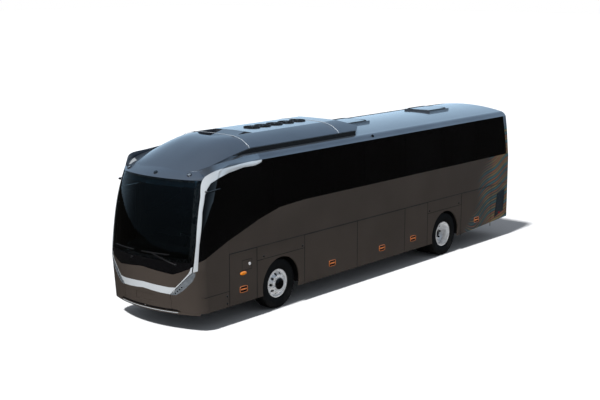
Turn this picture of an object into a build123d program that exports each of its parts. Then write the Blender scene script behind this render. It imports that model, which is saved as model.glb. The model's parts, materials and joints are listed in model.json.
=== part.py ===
from build123d import *
from math import asin, cos, radians, sin, sqrt
import os

# Coach bus, in millimetres. +X is the coach's left side, -Y its front, +Z is up, and z = 0 is the ground.
# The outer body is one closed form; every panel, pane and lid is a piece of its skin.

# ---- overall sizes ----
length = 11850
width = 2550
wheelbase = 6155
front_overhang = 2677  # front face to front axle
skirt_z = 382  # lower edge of the side panels
hinge_z = 1431  # long joint above the side flaps
belt_z = 2180  # lower edge of the side glass
glass_top_z = 3167  # upper edge of the side glass
glass_lean = 47  # how far the side glass curves in over its height
cove_run = 178  # width of the rounded strip between glass and roof
cove_z = 3285  # top of that strip
crown_z = 3395  # roof at the middle
nose_z = 1250  # foremost line of the front
nose_radius = 2700  # bow of the front, seen from above
corner_overlap = 1.5  # the front corners' arcs run this far past the sides, which cut them off
tail_radius = 45000  # bow of the back, seen from above
tail_corner = 60  # rear corners, seen from above
chin_drop = 870  # the lower front leans back by chin_lean over this height
chin_lean = 80
tail_break_z = 2100  # above this line the back leans forward
tail_rake = 0.15
tail_skirt_z = 514  # lower edge at the very back
header_z = 2935  # upper edge of the windscreen
header_back = 310  # how far that edge lies behind the foremost line
# the front at rising heights: height, how far it lies behind the foremost line, corner radius seen from above
nose_levels = (
    (nose_z, 0, 280),
    (1800, 70, 270),
    (2400, 181, 340),
    (header_z, header_back, 620),
    (3500, 478, 900),
)
header_curve = ((250, 3062), (650, 3180))  # the roof curves back and up through these
roof_run = 1900  # the roof reaches its full height this far behind the windscreen's top

# ---- thicknesses and gaps ----
wall = 48  # side and rear walls
glass = 8
flap = 30  # flaps and lower panels
leaf = 40  # roof and door leaf
panel_gap = 8
running_gap = 0.3

# ---- joints between the side panels, measured back from the front face ----
door_front = 465
joint_door = 1122
joint_locker = 1928
joint_arch_front = 3426
joint_luggage = 5259
joint_service = 7094
joint_arch_rear = 8043
joint_engine = 9543
joint_grille = 10969
joint_tail = 11690

# ---- running gear ----
tyre_radius = 520
tyre_width = 292
tyre_bead = 204  # width between the rim flanges
rim_flange_radius = 298
rim_seat_radius = 284
front_wheel_x = 1050  # middle of the front tyre
twin_plane_x = 920  # where the discs of the twin rear wheels meet
twin_spacing = 335
front_dish = 150  # disc face outside the middle of the front rim
disc_plate = 14
arch_radius = 580
kingpin_x = 905
hand_hole_circle = 212
hand_hole_radius = 28
stud_circle = 167.5

# ---- inside ----
floor_z = 1430
floor_plate = 50
platform_z = 1010
platform_plate = 40
bay_floor_z = 470
bay_floor_plate = 30
bulkhead = 25
seat_pitch = 800

rod_radius = panel_gap / 2 - running_gap
side_x = width / 2 - rod_radius
front_y = -length / 2
rear_y = length / 2 - rod_radius
front_axle_y = front_y + front_overhang
rear_axle_y = front_axle_y + wheelbase
half_gap = panel_gap / 2
body_seam = 0.5  # between panels of the body that butt
flap_top_z = hinge_z - half_gap
wall_foot_z = hinge_z + half_gap
glass_top_x = side_x - glass_lean
cove_x = glass_top_x - cove_run
far = 2 * length


def along(distance):
    return front_y + distance


def body_form(inset):
    # the closed outer form of the body, moved inwards by inset: cross-section, front, back and roof front
    side = side_x - inset
    top = glass_top_x - inset
    edge = cove_x - inset / 2
    edge_z = cove_z - inset
    with BuildPart() as section:
        with BuildSketch(Plane.XZ.offset(-length)):
            with BuildLine():
                Polyline((-side, belt_z), (-side, 0), (side, 0), (side, belt_z))
                for hand in (1, -1):
                    ThreePointArc(
                        (hand * side, belt_z),
                        (hand * (side - glass_lean / 4), (belt_z + glass_top_z) / 2),
                        (hand * top, glass_top_z - inset / 2),
                    )
                    ThreePointArc(
                        (hand * top, glass_top_z - inset / 2),
                        (hand * (0.55 * top + 0.45 * edge + 12), 0.4 * glass_top_z + 0.6 * cove_z + 8 - inset),
                        (hand * edge, edge_z),
                    )
                ThreePointArc((edge, edge_z), (0, crown_z - inset), (-edge, edge_z))
            make_face()
        extrude(amount=2 * length)
    return nose_form(inset) & tail_form(inset) & roof_form(inset) & section.part


def nose_plan(level_z, back, corner_radius, inset):
    # the front seen from above at one height: a bow between two corner arcs, open far behind
    side = side_x + corner_overlap - inset
    bow = nose_radius - inset
    corner = corner_radius - inset
    corner_x = side_x + corner_overlap - corner_radius
    turn = asin(corner_x / (nose_radius - corner_radius))
    bow_centre_y = front_y + back + nose_radius
    corner_y = bow_centre_y - (nose_radius - corner_radius) * cos(turn)
    middle = (radians(90) + turn) / 2
    join = (corner_x + corner * sin(turn), corner_y - corner * cos(turn))
    with BuildSketch(Plane.XY.offset(level_z)) as plan:
        with BuildLine():
            Polyline((side, corner_y), (side, far), (-side, far), (-side, corner_y))
            for hand in (1, -1):
                ThreePointArc(
                    (hand * side, corner_y),
                    (hand * (corner_x + corner * sin(middle)), corner_y - corner * cos(middle)),
                    (hand * join[0], join[1]),
                )
            ThreePointArc(join, (0, bow_centre_y - bow), (-join[0], join[1]))
        make_face()
    return plan.sketch


def nose_form(inset):
    # the bowed front: it leans back below nose_z, and rounds back more and more above it
    foot_z = -10
    foot_back = chin_lean * (nose_z - foot_z) / chin_drop
    with BuildPart() as form:
        for level_z, back, corner_radius in nose_levels:
            add(nose_plan(level_z, back, corner_radius, inset))
        loft()
    with BuildPart() as chin:
        add(nose_plan(foot_z, foot_back, nose_levels[0][2], inset))
        add(nose_plan(nose_z, 0, nose_levels[0][2], inset))
        loft(ruled=True)
    return form.part + chin.part


def tail_form(inset):
    # the back: gently bowed, small corners, upright below tail_break_z and leaning forward above it
    side = side_x - inset
    with BuildPart() as form:
        for lean, up in ((0, -1), (-tail_rake, 1)):
            with BuildSketch(Plane.XY.offset(tail_break_z)):
                with BuildLine():
                    middle_y = rear_y - inset
                    edge_y = middle_y - side_x**2 / (2 * tail_radius)
                    ThreePointArc((side, edge_y), (0, middle_y), (-side, edge_y))
                    Polyline((side, edge_y), (side, -far), (-side, -far), (-side, edge_y))
                make_face()
                fillet(
                    [v for v in vertices() if v.Y > 0],
                    radius=tail_corner - inset,
                )
            extrude(amount=tail_break_z + length, dir=(0, lean, up))
    return form.part


def roof_form(inset):
    # the roof's front end: one profile, an arc up from the windscreen's top edge and a rise to the roof's
    # height, which follows the front's bow from side to side
    with BuildPart() as form:
        for station in (-1400, -950, -475, 0, 475, 950, 1400):
            start_y = front_y + header_back + nose_radius - sqrt(nose_radius**2 - station**2) + inset
            (mid_run, mid_z), (end_run, end_z) = header_curve
            with BuildSketch(Plane.YZ.offset(station)):
                with BuildLine():
                    ThreePointArc(
                        (start_y, header_z - inset),
                        (start_y + mid_run, mid_z - inset),
                        (start_y + end_run, end_z - inset),
                    )
                    Polyline(
                        (start_y + end_run, end_z - inset),
                        (start_y + roof_run, crown_z + 5 - inset),
                        (far, crown_z + 5 - inset),
                        (far, -10),
                        (-far, -10),
                        (-far, header_z - inset),
                        (start_y, header_z - inset),
                    )
                make_face()
        loft()
    return form.part


def side_prism(outline, x_from, x_to):
    # an outline seen from the side, as (y, z) points, carried across from x_from to x_to
    with BuildPart() as prism:
        with BuildSketch(Plane.YZ.offset(min(x_from, x_to))):
            with BuildLine():
                Polyline(*outline, close=True)
            make_face()
        extrude(amount=abs(x_to - x_from))
    return prism.part


def front_prism(outline, y_from, y_to):
    # an outline seen from the front, as (x, z) points, carried back from y_from to y_to
    with BuildPart() as prism:
        with BuildSketch(Plane.XZ.offset(-y_to)):
            with BuildLine():
                Polyline(*outline, close=True)
            make_face()
        extrude(amount=y_to - y_from)
    return prism.part


def block(x_range, y_range, z_range):
    with BuildPart() as solid:
        with BuildSketch(Plane.XY.offset(z_range[0])):
            with Locations(((x_range[0] + x_range[1]) / 2, (y_range[0] + y_range[1]) / 2)):
                Rectangle(x_range[1] - x_range[0], y_range[1] - y_range[0])
        extrude(amount=z_range[1] - z_range[0])
    return solid.part


def rod(x, y, z, radius, amount, axis):
    # a round bar from (x, y, z), running by amount along X, Y or Z
    normals = {"X": (1, 0, 0), "Y": (0, 1, 0), "Z": (0, 0, 1)}
    with BuildPart() as bar:
        with BuildSketch(Plane(origin=(x, y, z), z_dir=normals[axis])):
            Circle(radius)
        extrude(amount=amount)
    return bar.part


def y_box(y_from, y_to, z_from, z_to):
    return [(y_from, z_from), (y_to, z_from), (y_to, z_to), (y_from, z_to)]


def save(part, name):
    part.label = name
    export_step(part, f"parts/{name}.step")


os.makedirs("parts", exist_ok=True)

outer = body_form(0)
under_glass = body_form(glass)
under_flap = body_form(flap)
under_leaf = body_form(leaf)
under_wall = body_form(wall)
over_gap = body_form(-running_gap)

# ---- lines on the body, as seen from the side (y, z) and from the front (x, z) ----
corner_top_z = 1400
corner_seam = [(along(393), 200), (along(371), 720), (along(353), 1215), (along(337), corner_top_z)]
glass_edge = [(along(1096), 1701), (along(2034), 1999), (along(2628), 2138), (along(3400), belt_z)]
stripe_rear = [
    (along(262), 1217),
    (along(313), 1240),
    (along(331), 1401),
    (along(369), 1735),
    (along(477), 2353),
    (along(569), 2662),
    (along(624), 2768),
]
stripe_under = [
    (along(708), 2878),
    (along(864), 2954),
    (along(1178), 3026),
    (along(1601), 3079),
    (along(2050), 3094),
    (along(2136), 3125),
]
stripe_over = [
    (along(2150), glass_top_z - 1),
    (along(1611), 3159),
    (along(1190), 3137),
    (along(820), 3095),
    (along(686), 3035),
    (along(614), 2957),
    (along(600), header_z),
]
stripe_front = [(1137, 1217), (1145, 1329), (1149, corner_top_z), (1158, 1736), (1140, 2286), (1123, 2623), (1088, header_z)]
mask_foot = [(0, 1217), (733, 1139), (870, 1188), (1066, 1273), (1093, 1297)]
mask_side = [(1126, 1321), (1121, 1217)]
screen_foot = [(0, 1400), (700, 1390)]
band_top = [(0, 903), (641, 871), (764, 882), (893, 1007), (1040, 1173), (1088, 1253), (1093, 1297)]
band_foot = [(0, 777), (408, 740), (636, 732)]
arm_tip = (1114, 1206)
lamp_head = [(1127, 1200), (1137, 1217), (1175, 1196)]
lamp_foot = [(650, 722), (774, 732), (915, 832), (996, 909), (1114, 1034), (1165, 1135)]
lens_line = [(755, 765), (802, 809), (849, 852), (896, 896)]


def tail_joint(level_z):
    # where the side ends and the back begins: the joint leans forward with the back above tail_break_z
    return along(joint_tail) - tail_rake * max(0, level_z - tail_break_z)


def symmetric(lower, upper):
    # closed outline from its right half: the lower edge outwards and the upper edge outwards
    right = [*lower, *reversed(upper)]
    return [*right, *[(-x, z) for x, z in reversed(right) if x > 0]]


def mirrored(points):
    return [(-x, z) for x, z in points]


# ---- roof ----
roof_edge = [(-far, header_z), *reversed(stripe_over), (far, glass_top_z - 1)]
with BuildPart() as roof_shell:
    add(outer)
    add(under_leaf, mode=Mode.SUBTRACT)
    add(side_prism([*roof_edge, (far, 2 * crown_z), (-far, 2 * crown_z)], -width, width), mode=Mode.INTERSECT)
    hatch_length = 860
    hatch_width = 760
    hatch_rise = 46
    hatch_ys = (along(6455), along(9825))
    for hatch_y in hatch_ys:
        add(
            block((-hatch_width / 2 + 60, hatch_width / 2 - 60), (hatch_y - 370, hatch_y + 370), (3000, 3500)),
            mode=Mode.SUBTRACT,
        )
save(roof_shell.part, "roof_shell")

# the front dome and the air conditioning housing behind it, with a recess at the dome's crest
ac_front = along(2045)
ac_rear = along(5845)
ac_side_x = 980
ac_side_z = 3385
ac_shoulder = 0.54  # share of the half width where the shoulder arc ends
ac_top_z = 3600
# sections of the dome: distance back, half width, height of the side, height of the middle
dome_sections = (
    (565, 550, 3000, 3060),
    (925, 930, 3120, 3250),
    (1325, 1000, 3270, 3430),
    (1725, 1000, 3330, 3550),
    (2045, ac_side_x, ac_side_z, ac_top_z),
)
recess_floor_z = 3420
recess = block((-520, 520), (along(1925), along(2655)), (recess_floor_z, 3700))


def roof_section(y, half_width, side_z, top_z):
    # a section of the dome or housing: upright sides, shoulder arcs and a slightly bowed top
    shoulder_x = ac_shoulder * half_width
    shoulder_z = top_z - 0.05 * (top_z - side_z)
    with BuildSketch(Plane.XZ.offset(-y)) as section:
        with BuildLine():
            Polyline((-half_width, side_z), (-half_width, 2700), (half_width, 2700), (half_width, side_z))
            for hand in (1, -1):
                ThreePointArc(
                    (hand * half_width, side_z),
                    (hand * (half_width + shoulder_x) / 2, (side_z + shoulder_z) / 2 + 0.1 * (top_z - side_z)),
                    (hand * shoulder_x, shoulder_z),
                )
            ThreePointArc((shoulder_x, shoulder_z), (0, top_z), (-shoulder_x, shoulder_z))
        make_face()
    return section.sketch


with BuildPart() as front_dome:
    for distance, half_width, side_z, top_z in dome_sections:
        add(roof_section(along(distance), half_width, side_z, top_z))
    loft()
    add(outer, mode=Mode.SUBTRACT)
    add(recess, mode=Mode.SUBTRACT)
save(front_dome.part, "front_dome")

ac_end_x = 560  # the rear end is straight to here, and its corners run forward by ac_corner
ac_corner = 370
ac_slope = 470  # the top falls over this length at the rear end
with BuildPart() as ac_housing:
    add(roof_section(ac_rear, ac_side_x, ac_side_z, ac_top_z))
    extrude(amount=ac_rear - ac_front, dir=(0, -1, 0))
    with BuildSketch(Plane.XY.offset(2500)):
        with BuildLine():
            Polyline(
                (ac_side_x, ac_rear - ac_corner),
                (ac_side_x, ac_front),
                (-ac_side_x, ac_front),
                (-ac_side_x, ac_rear - ac_corner),
            )
            for hand in (1, -1):
                ThreePointArc(
                    (hand * ac_side_x, ac_rear - ac_corner),
                    (hand * (ac_side_x - 110), ac_rear - 100),
                    (hand * ac_end_x, ac_rear),
                )
            Line((ac_end_x, ac_rear), (-ac_end_x, ac_rear))
        make_face()
    extrude(amount=1500, mode=Mode.INTERSECT)
    slope = [(ac_rear + 10, 3420), (ac_rear + 10, 3700), (ac_rear - ac_slope, 3700), (ac_rear - ac_slope, 3605)]
    add(side_prism(slope, -width, width), mode=Mode.SUBTRACT)
    add(outer, mode=Mode.SUBTRACT)
    add(recess, mode=Mode.SUBTRACT)
    ramp = [(along(2075), recess_floor_z), (along(2655), recess_floor_z), (along(2655), ac_top_z - 4), (along(2075), 3450)]
    add(side_prism(ramp, -300, 300))
save(ac_housing.part, "ac_housing")

with BuildPart() as roof_rails:
    rail_side = [(along(1525), 3290), (ac_rear - ac_corner, 3200), (ac_rear - ac_corner, 3380), (along(2045), 3380)]
    for hand in (1, -1):
        add(side_prism(rail_side, hand * (ac_side_x + 22), hand * (ac_side_x + 52)))
    add(outer, mode=Mode.SUBTRACT)
    add(front_dome.part, mode=Mode.SUBTRACT)
save(roof_rails.part, "roof_rails")

fan_radius = 180
fan_ys = [along(d) for d in (3220, 3560, 3940, 4320, 4710)]
with BuildPart() as ac_fans:
    for fan_y in fan_ys:
        with BuildSketch(Plane.XY.offset(ac_top_z)):
            with Locations((0, fan_y)):
                Circle(fan_radius)
                Circle(fan_radius - 22, mode=Mode.SUBTRACT)
                Circle(45)
                for turn in range(4):
                    Rectangle(2 * fan_radius - 20, 14, rotation=45 * turn)
        extrude(amount=20)
save(ac_fans.part, "ac_fans")

# ---- upper side walls, window panes and silver stripe ----
pane_joints = [along(d) for d in (2450, 4000, 5550, 7100, 8650, 10200)]
pillar_line = [(along(255), corner_top_z), (along(333), 1839), (along(433), 2308), (along(600), header_z)]
glass_outline = [
    (along(342), 1405),
    *glass_edge,
    (tail_joint(belt_z), belt_z),
    (tail_joint(glass_top_z), glass_top_z - 1),
    stripe_over[0],
    *reversed(stripe_under),
    *reversed(stripe_rear[2:]),
]
door_top_z = 2560
door_slant_z = 2220  # above this height the door's front edge follows the windscreen pillar
door_slant = 135
doorway = [
    (along(door_front), 0),
    (along(joint_door), 0),
    (along(joint_door), door_top_z + panel_gap),
    (along(door_front) + door_slant, door_top_z + panel_gap),
    (along(door_front), door_slant_z),
]
window_ys = [along(d) for d in (2530, 3920, 4080, 5470, 5630, 7020, 7180, 8570, 8730, 10120)]
glass_layer = outer - under_glass
inner_layer = under_glass - under_wall
central_zone = front_prism(
    symmetric([(0, 0), (stripe_front[0][0], 0), *stripe_front], [(0, header_z)]),
    -length,
    along(900),
)
stripe_outline = [
    (along(-100), stripe_front[0][1]),
    *stripe_rear,
    *stripe_under,
    *stripe_over,
    (along(-100), header_z),
]
stripe_layer = (glass_layer & side_prism(stripe_outline, -width, width)) - central_zone
side_band = (glass_layer & side_prism(glass_outline, -width, width)) - central_zone

with BuildPart() as side_stripes:
    add(stripe_layer)
save(side_stripes.part, "side_stripes")

rear_window = [(-960, 2330), (960, 2330), (900, 3030), (-900, 3030)]
with BuildPart() as body_glass:
    add(side_band)
    for pane_y in pane_joints:
        add(block((-width, width), (pane_y - 3, pane_y + 3), (1000, 3500)), mode=Mode.SUBTRACT)
    add(side_prism(doorway, -width, 0), mode=Mode.SUBTRACT)
    add(glass_layer & front_prism(rear_window, 0, length))
save(body_glass.part, "body_glass")

painted_outline = [
    corner_seam[-1],
    (along(joint_door) - half_gap, corner_top_z),
    (along(joint_door) - half_gap, wall_foot_z),
    (along(joint_tail), wall_foot_z),
    (along(joint_tail), tail_break_z),
    (tail_joint(belt_z), belt_z),
    *reversed(glass_edge),
    (along(342), 1405),
]
wall_outline = [
    (along(joint_door) - half_gap, corner_top_z),
    (along(joint_door) - half_gap, wall_foot_z),
    (along(joint_tail), wall_foot_z),
    (along(joint_tail), tail_break_z),
    (tail_joint(glass_top_z), glass_top_z - 1),
    *stripe_over,
    *reversed(pillar_line[:-1]),
]
with BuildPart() as both_walls:
    add(inner_layer)
    add(side_prism(wall_outline, -width, width), mode=Mode.INTERSECT)
    for start, end in zip(window_ys[::2], window_ys[1::2]):
        add(side_prism(y_box(start, end, belt_z + 40, glass_top_z - 120), -width, width), mode=Mode.SUBTRACT)
    driver_window = [
        (along(1290), 1890),
        (along(2330), 2180),
        (along(2330), 2900),
        (along(1290), 2860),
    ]
    add(side_prism(driver_window, -width, width), mode=Mode.SUBTRACT)
    front_window = [
        (along(480), 1560),
        (along(1210), 1840),
        (along(1210), 2830),
        (along(760), 2700),
        (along(600), 2500),
    ]
    add(side_prism(front_window, 0, width), mode=Mode.SUBTRACT)
    add(glass_layer & side_prism(painted_outline, -width, width))
    add(side_prism(doorway, -width, 0), mode=Mode.SUBTRACT)
    add(
        block((-width, width), (along(joint_door) - 3, along(joint_door) + 3), (corner_top_z, 1750)) - under_glass,
        mode=Mode.SUBTRACT,
    )
for hand, side in ((1, "left"), (-1, "right")):
    with BuildPart() as side_wall:
        add(both_walls.part)
        add(side_prism(y_box(-far, far, 0, 2 * crown_z), 0, hand * width), mode=Mode.INTERSECT)
        if side == "right":
            # three panels meet above the doorway's two corners
            for joint_y in (along(door_front), along(joint_door)):
                seam = y_box(joint_y, joint_y + body_seam, corner_top_z, 2 * crown_z)
                add(side_prism(seam, -width, 0), mode=Mode.SUBTRACT)
    save(side_wall.part, f"side_wall_{side}")

# ---- front ----
front_cut = [
    (along(-500), -50),
    (corner_seam[0][0], -50),
    *corner_seam,
    (corner_seam[-1][0], belt_z),
    (along(-500), belt_z),
]
front_skin = (outer - under_flap) & side_prism(front_cut, -width, width)
screen_outline = symmetric([*screen_foot, *stripe_front[2:]], [(0, header_z)])
with BuildPart() as windscreen:
    add(glass_layer)
    add(front_prism(screen_outline, -length, 0), mode=Mode.INTERSECT)
save(windscreen.part, "windscreen")

mask_outline = symmetric([*mask_foot, *mask_side, *stripe_front[:2]], [*screen_foot, stripe_front[2]])
with BuildPart() as front_mask:
    add(front_skin)
    add(front_prism(mask_outline, -length, 0), mode=Mode.INTERSECT)
save(front_mask.part, "front_mask")

hood_outline = symmetric(band_top, mask_foot[:-1])
with BuildPart() as front_hood:
    add(front_skin)
    add(front_prism(hood_outline, -length, 0), mode=Mode.INTERSECT)
save(front_hood.part, "front_hood")

band_outline = symmetric([*band_foot, arm_tip, mask_side[0]], band_top)
with BuildPart() as front_band:
    add(front_skin)
    add(front_prism(band_outline, -length, 0), mode=Mode.INTERSECT)
save(front_band.part, "front_band")

lamp_outline = [*lamp_foot, *reversed(lamp_head)]
lens_radius = 16
lenses = rod(lens_line[0][0], -length, lens_line[0][1], lens_radius, length, "Y")
for lens_x, lens_z in lens_line[1:]:
    lenses = lenses + rod(lens_x, -length, lens_z, lens_radius, length, "Y")
lenses = lenses + mirror(lenses, Plane.YZ)
with BuildPart() as headlamps:
    add(front_skin)
    add(
        front_prism(lamp_outline, -length, 0) + front_prism(mirrored(lamp_outline), -length, 0),
        mode=Mode.INTERSECT,
    )
    add(glass_layer & lenses, mode=Mode.SUBTRACT)
save(headlamps.part, "headlamps")

bumper_z = 345
bumper_outline = symmetric(
    [
        (0, bumper_z),
        (width, bumper_z),
        (width, corner_top_z),
        stripe_front[2],
        stripe_front[1],
        stripe_front[0],
        lamp_head[-1],
        *reversed(lamp_foot[1:]),
        (band_foot[-1][0] + 14, lamp_foot[0][1] - 4),
    ],
    band_foot,
)
slot = [(-850, 392), (850, 392), (760, 437), (-760, 437)]
plate_recess = [(-260, 525), (260, 525), (260, 680), (-260, 680)]
groove = 7
seam_x = (band_foot[-1][0], band_foot[-1][0] + 24)
with BuildPart() as front_bumper:
    add(front_skin)
    add(front_prism(bumper_outline, -length, 0), mode=Mode.INTERSECT)
    add(front_prism(slot, -length, -5000), mode=Mode.SUBTRACT)
    add(stripe_layer, mode=Mode.SUBTRACT)
    add(glass_layer & front_prism(plate_recess, -length, 0), mode=Mode.SUBTRACT)
    for hand in (1, -1):
        seam = [
            (hand * seam_x[0], band_foot[-1][1] + 5),
            (hand * seam_x[1], bumper_z - 5),
            (hand * (seam_x[1] + groove), bumper_z - 5),
            (hand * (seam_x[0] + groove), band_foot[-1][1] + 5),
        ]
        add(glass_layer & front_prism(seam, -length, 0), mode=Mode.SUBTRACT)
save(front_bumper.part, "front_bumper")

# structural frame behind the windscreen and the front panels
with BuildPart() as front_frame:
    add(inner_layer)
    add(
        side_prism([(-far, corner_top_z), *pillar_line, (-far, header_z)], -width, width),
        mode=Mode.INTERSECT,
    )
    opening = symmetric([(0, 1455), (1055, 1455), (1036, 2112), (992, 2890)], [(0, 2900)])
    add(front_prism(opening, -length, 0), mode=Mode.SUBTRACT)
save(front_frame.part, "front_frame")

# ---- lower side panels and flaps ----
skirt_line = [(along(0), skirt_z), (along(joint_arch_rear + 1200), skirt_z), (rear_y + 50, tail_skirt_z + 8)]
below_skirt = side_prism([*skirt_line, (rear_y + 50, -50), (along(0), -50)], -width, width)
lower_skin = outer - under_flap - below_skirt
arches = rod(-width, front_axle_y, tyre_radius, arch_radius, 2 * width, "X") + rod(
    -width, rear_axle_y, tyre_radius, arch_radius, 2 * width, "X"
)
grille_outline = [
    (along(11150), 560),
    (along(11605), 700),
    (along(11675), 1280),
    (along(11265), 1170),
]
arch_panel_z = 1148  # joints of the panels over the wheels
low_panel_z = 690
with BuildPart() as lower_panels:
    add(lower_skin)
    fixed = [
        y_box(along(joint_locker) + half_gap, along(joint_arch_front) - half_gap, 0, flap_top_z),
        y_box(along(joint_arch_rear) + half_gap, along(joint_engine) - half_gap, 0, flap_top_z),
        y_box(along(joint_grille) + half_gap, along(joint_tail), 0, flap_top_z),
        [
            *corner_seam,
            (along(joint_door) - half_gap, corner_top_z),
            (along(joint_door) - half_gap, 0),
            (corner_seam[0][0], 0),
        ],
    ]
    tool = side_prism(fixed[0], -width, width)
    for outline in fixed[1:]:
        tool = tool + side_prism(outline, -width, width)
    add(tool, mode=Mode.INTERSECT)
    add(arches, mode=Mode.SUBTRACT)
    add(side_prism(grille_outline, -width, width), mode=Mode.SUBTRACT)
    add(side_prism(doorway, -width, 0), mode=Mode.SUBTRACT)
    for start, end, level_z in (
        (joint_locker, joint_arch_front, arch_panel_z),
        (joint_arch_rear, joint_engine, arch_panel_z),
        (350, joint_door, low_panel_z),
    ):
        line = side_prism(y_box(along(start), along(end), level_z, level_z + groove), -width, width)
        add(glass_layer & line, mode=Mode.SUBTRACT)
save(lower_panels.part, "lower_panels")

tow_half_width = 60
tow_room = 12  # clearance between the towing socket and the backing of the bumper's slot
tow_gap = tow_half_width + tow_room
with BuildPart() as grilles:
    add((under_glass - under_flap) & side_prism(grille_outline, -width, width))
    add((under_flap - under_leaf) & front_prism([(-880, 378), (880, 378), (800, 452), (-800, 452)], -length, -5000))
    add(block((-tow_gap, tow_gap), (along(-500), along(1000)), (0, 2 * slot[-1][1])), mode=Mode.SUBTRACT)
save(grilles.part, "grilles")

flaps = (
    ("locker", joint_door, joint_locker),
    ("luggage_front", joint_arch_front, joint_luggage),
    ("luggage_rear", joint_luggage, joint_service),
    ("service", joint_service, joint_arch_rear),
    ("engine", joint_engine, joint_grille),
)
fuel_ring = side_prism(y_box(along(1483), along(1775), 1027, 1239), 0, width) - side_prism(
    y_box(along(1483) + groove, along(1775) - groove, 1027 + groove, 1239 - groove), 0, width
)
for hand, side in ((1, "left"), (-1, "right")):
    for name, start, end in flaps:
        with BuildPart() as side_flap:
            add(lower_skin)
            add(
                side_prism(
                    y_box(along(start) + half_gap, along(end) - half_gap, 0, flap_top_z),
                    0,
                    hand * width,
                ),
                mode=Mode.INTERSECT,
            )
            if name == "locker" and side == "left":
                add(glass_layer & fuel_ring, mode=Mode.SUBTRACT)
        save(side_flap.part, f"flap_{name}_{side}")

bumper_top_z = 860
lid_foot_z = bumper_top_z + panel_gap
lid_top_z = 1960
lid_half_width = 930
with BuildPart() as hinge_strips:
    for hand in (1, -1):
        add(rod(hand * side_x, along(joint_door), hinge_z, rod_radius, joint_tail - joint_door, "Y"))
    add(rod(-lid_half_width, rear_y, lid_top_z + half_gap, rod_radius, 2 * lid_half_width, "X"))
save(hinge_strips.part, "hinge_strips")

# ---- back ----
tail_cut = [
    (along(joint_tail) + body_seam, 0),
    (rear_y + 100, 0),
    (rear_y + 100, glass_top_z - 1),
    (tail_joint(glass_top_z) + body_seam, glass_top_z - 1),
    (along(joint_tail) + body_seam, tail_break_z),
]
with BuildPart() as rear_wall:
    add(outer)
    add(under_wall, mode=Mode.SUBTRACT)
    add(side_prism(tail_cut, -width, width), mode=Mode.INTERSECT)
    add(block((-width, width), (0, length), (0, bumper_top_z + panel_gap / 2)), mode=Mode.SUBTRACT)
    add(front_prism(rear_window, 0, length), mode=Mode.SUBTRACT)
    add(
        block((-lid_half_width - panel_gap, lid_half_width + panel_gap), (0, length), (0, lid_top_z + panel_gap)),
        mode=Mode.SUBTRACT,
    )
    lamp_ys = (along(joint_tail) + 20, length)
    lamps = block((-1190, -1010), lamp_ys, (1050, 1750)) + block((1010, 1190), lamp_ys, (1050, 1750))
    add(lamps, mode=Mode.SUBTRACT)
save(rear_wall.part, "rear_wall")

with BuildPart() as tail_lamps:
    add(outer)
    add(under_flap, mode=Mode.SUBTRACT)
    add(lamps, mode=Mode.INTERSECT)
save(tail_lamps.part, "tail_lamps")

with BuildPart() as rear_bumper:
    add(outer)
    add(under_wall, mode=Mode.SUBTRACT)
    add(below_skirt, mode=Mode.SUBTRACT)
    add(side_prism(y_box(along(joint_tail), rear_y + 100, 0, bumper_top_z), -width, width), mode=Mode.INTERSECT)
save(rear_bumper.part, "rear_bumper")

with BuildPart() as engine_lid:
    add(outer)
    add(under_flap, mode=Mode.SUBTRACT)
    add(block((-lid_half_width, lid_half_width), (0, length), (lid_foot_z, lid_top_z)), mode=Mode.INTERSECT)
save(engine_lid.part, "engine_lid")

# ---- roof hatches ----
hatch_layer = body_form(-hatch_rise) - over_gap
for place, hatch_y in zip(("front", "rear"), hatch_ys):
    with BuildPart() as hatch:
        add(hatch_layer)
        add(
            block(
                (-hatch_width / 2, hatch_width / 2),
                (hatch_y - hatch_length / 2, hatch_y + hatch_length / 2),
                (3000, 3600),
            ),
            mode=Mode.INTERSECT,
        )
    save(hatch.part, f"roof_hatch_{place}")

# ---- floors, bulkheads and frame ----
with BuildPart() as cabin_floor:
    add(block((-side_x, side_x), (along(1480), length), (floor_z, floor_z + floor_plate)) & under_wall)
    add(block((-330, side_x), (along(250), along(1455)), (platform_z - platform_plate, platform_z)) & under_wall)
save(cabin_floor.part, "cabin_floor")

rail_x = 430
rail_width = 70
rail_z = (480, 640)
raised_rail_z = (720, 860)  # over the rear axle
tow_bore_radius = 16
jack_ys = (along(2250), along(9750))
jack_pad = 120
bulkhead_x = side_x - flap - 12
bulkhead_joints = (
    joint_door + 40,
    joint_locker,
    joint_arch_front,
    joint_luggage,
    joint_service,
    joint_arch_rear,
    joint_engine,
)
with BuildPart() as bulkheads:
    for joint in bulkhead_joints:
        top = platform_z - platform_plate if joint < joint_locker else floor_z
        depth = (along(joint) - bulkhead / 2, along(joint) + bulkhead / 2)
        add(block((-bulkhead_x, bulkhead_x), depth, (bay_floor_z - bay_floor_plate, top)))
save(bulkheads.part, "bulkheads")

with BuildPart() as bay_floors:
    for start, end in (
        (joint_door + 40, joint_locker),
        (joint_arch_front, joint_luggage),
        (joint_luggage, joint_service),
        (joint_service, joint_arch_rear),
    ):
        add(
            block(
                (-bulkhead_x, bulkhead_x),
                (along(start) + bulkhead / 2, along(end) - bulkhead / 2),
                (bay_floor_z - bay_floor_plate, bay_floor_z),
            )
        )
save(bay_floors.part, "bay_floors")

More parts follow.
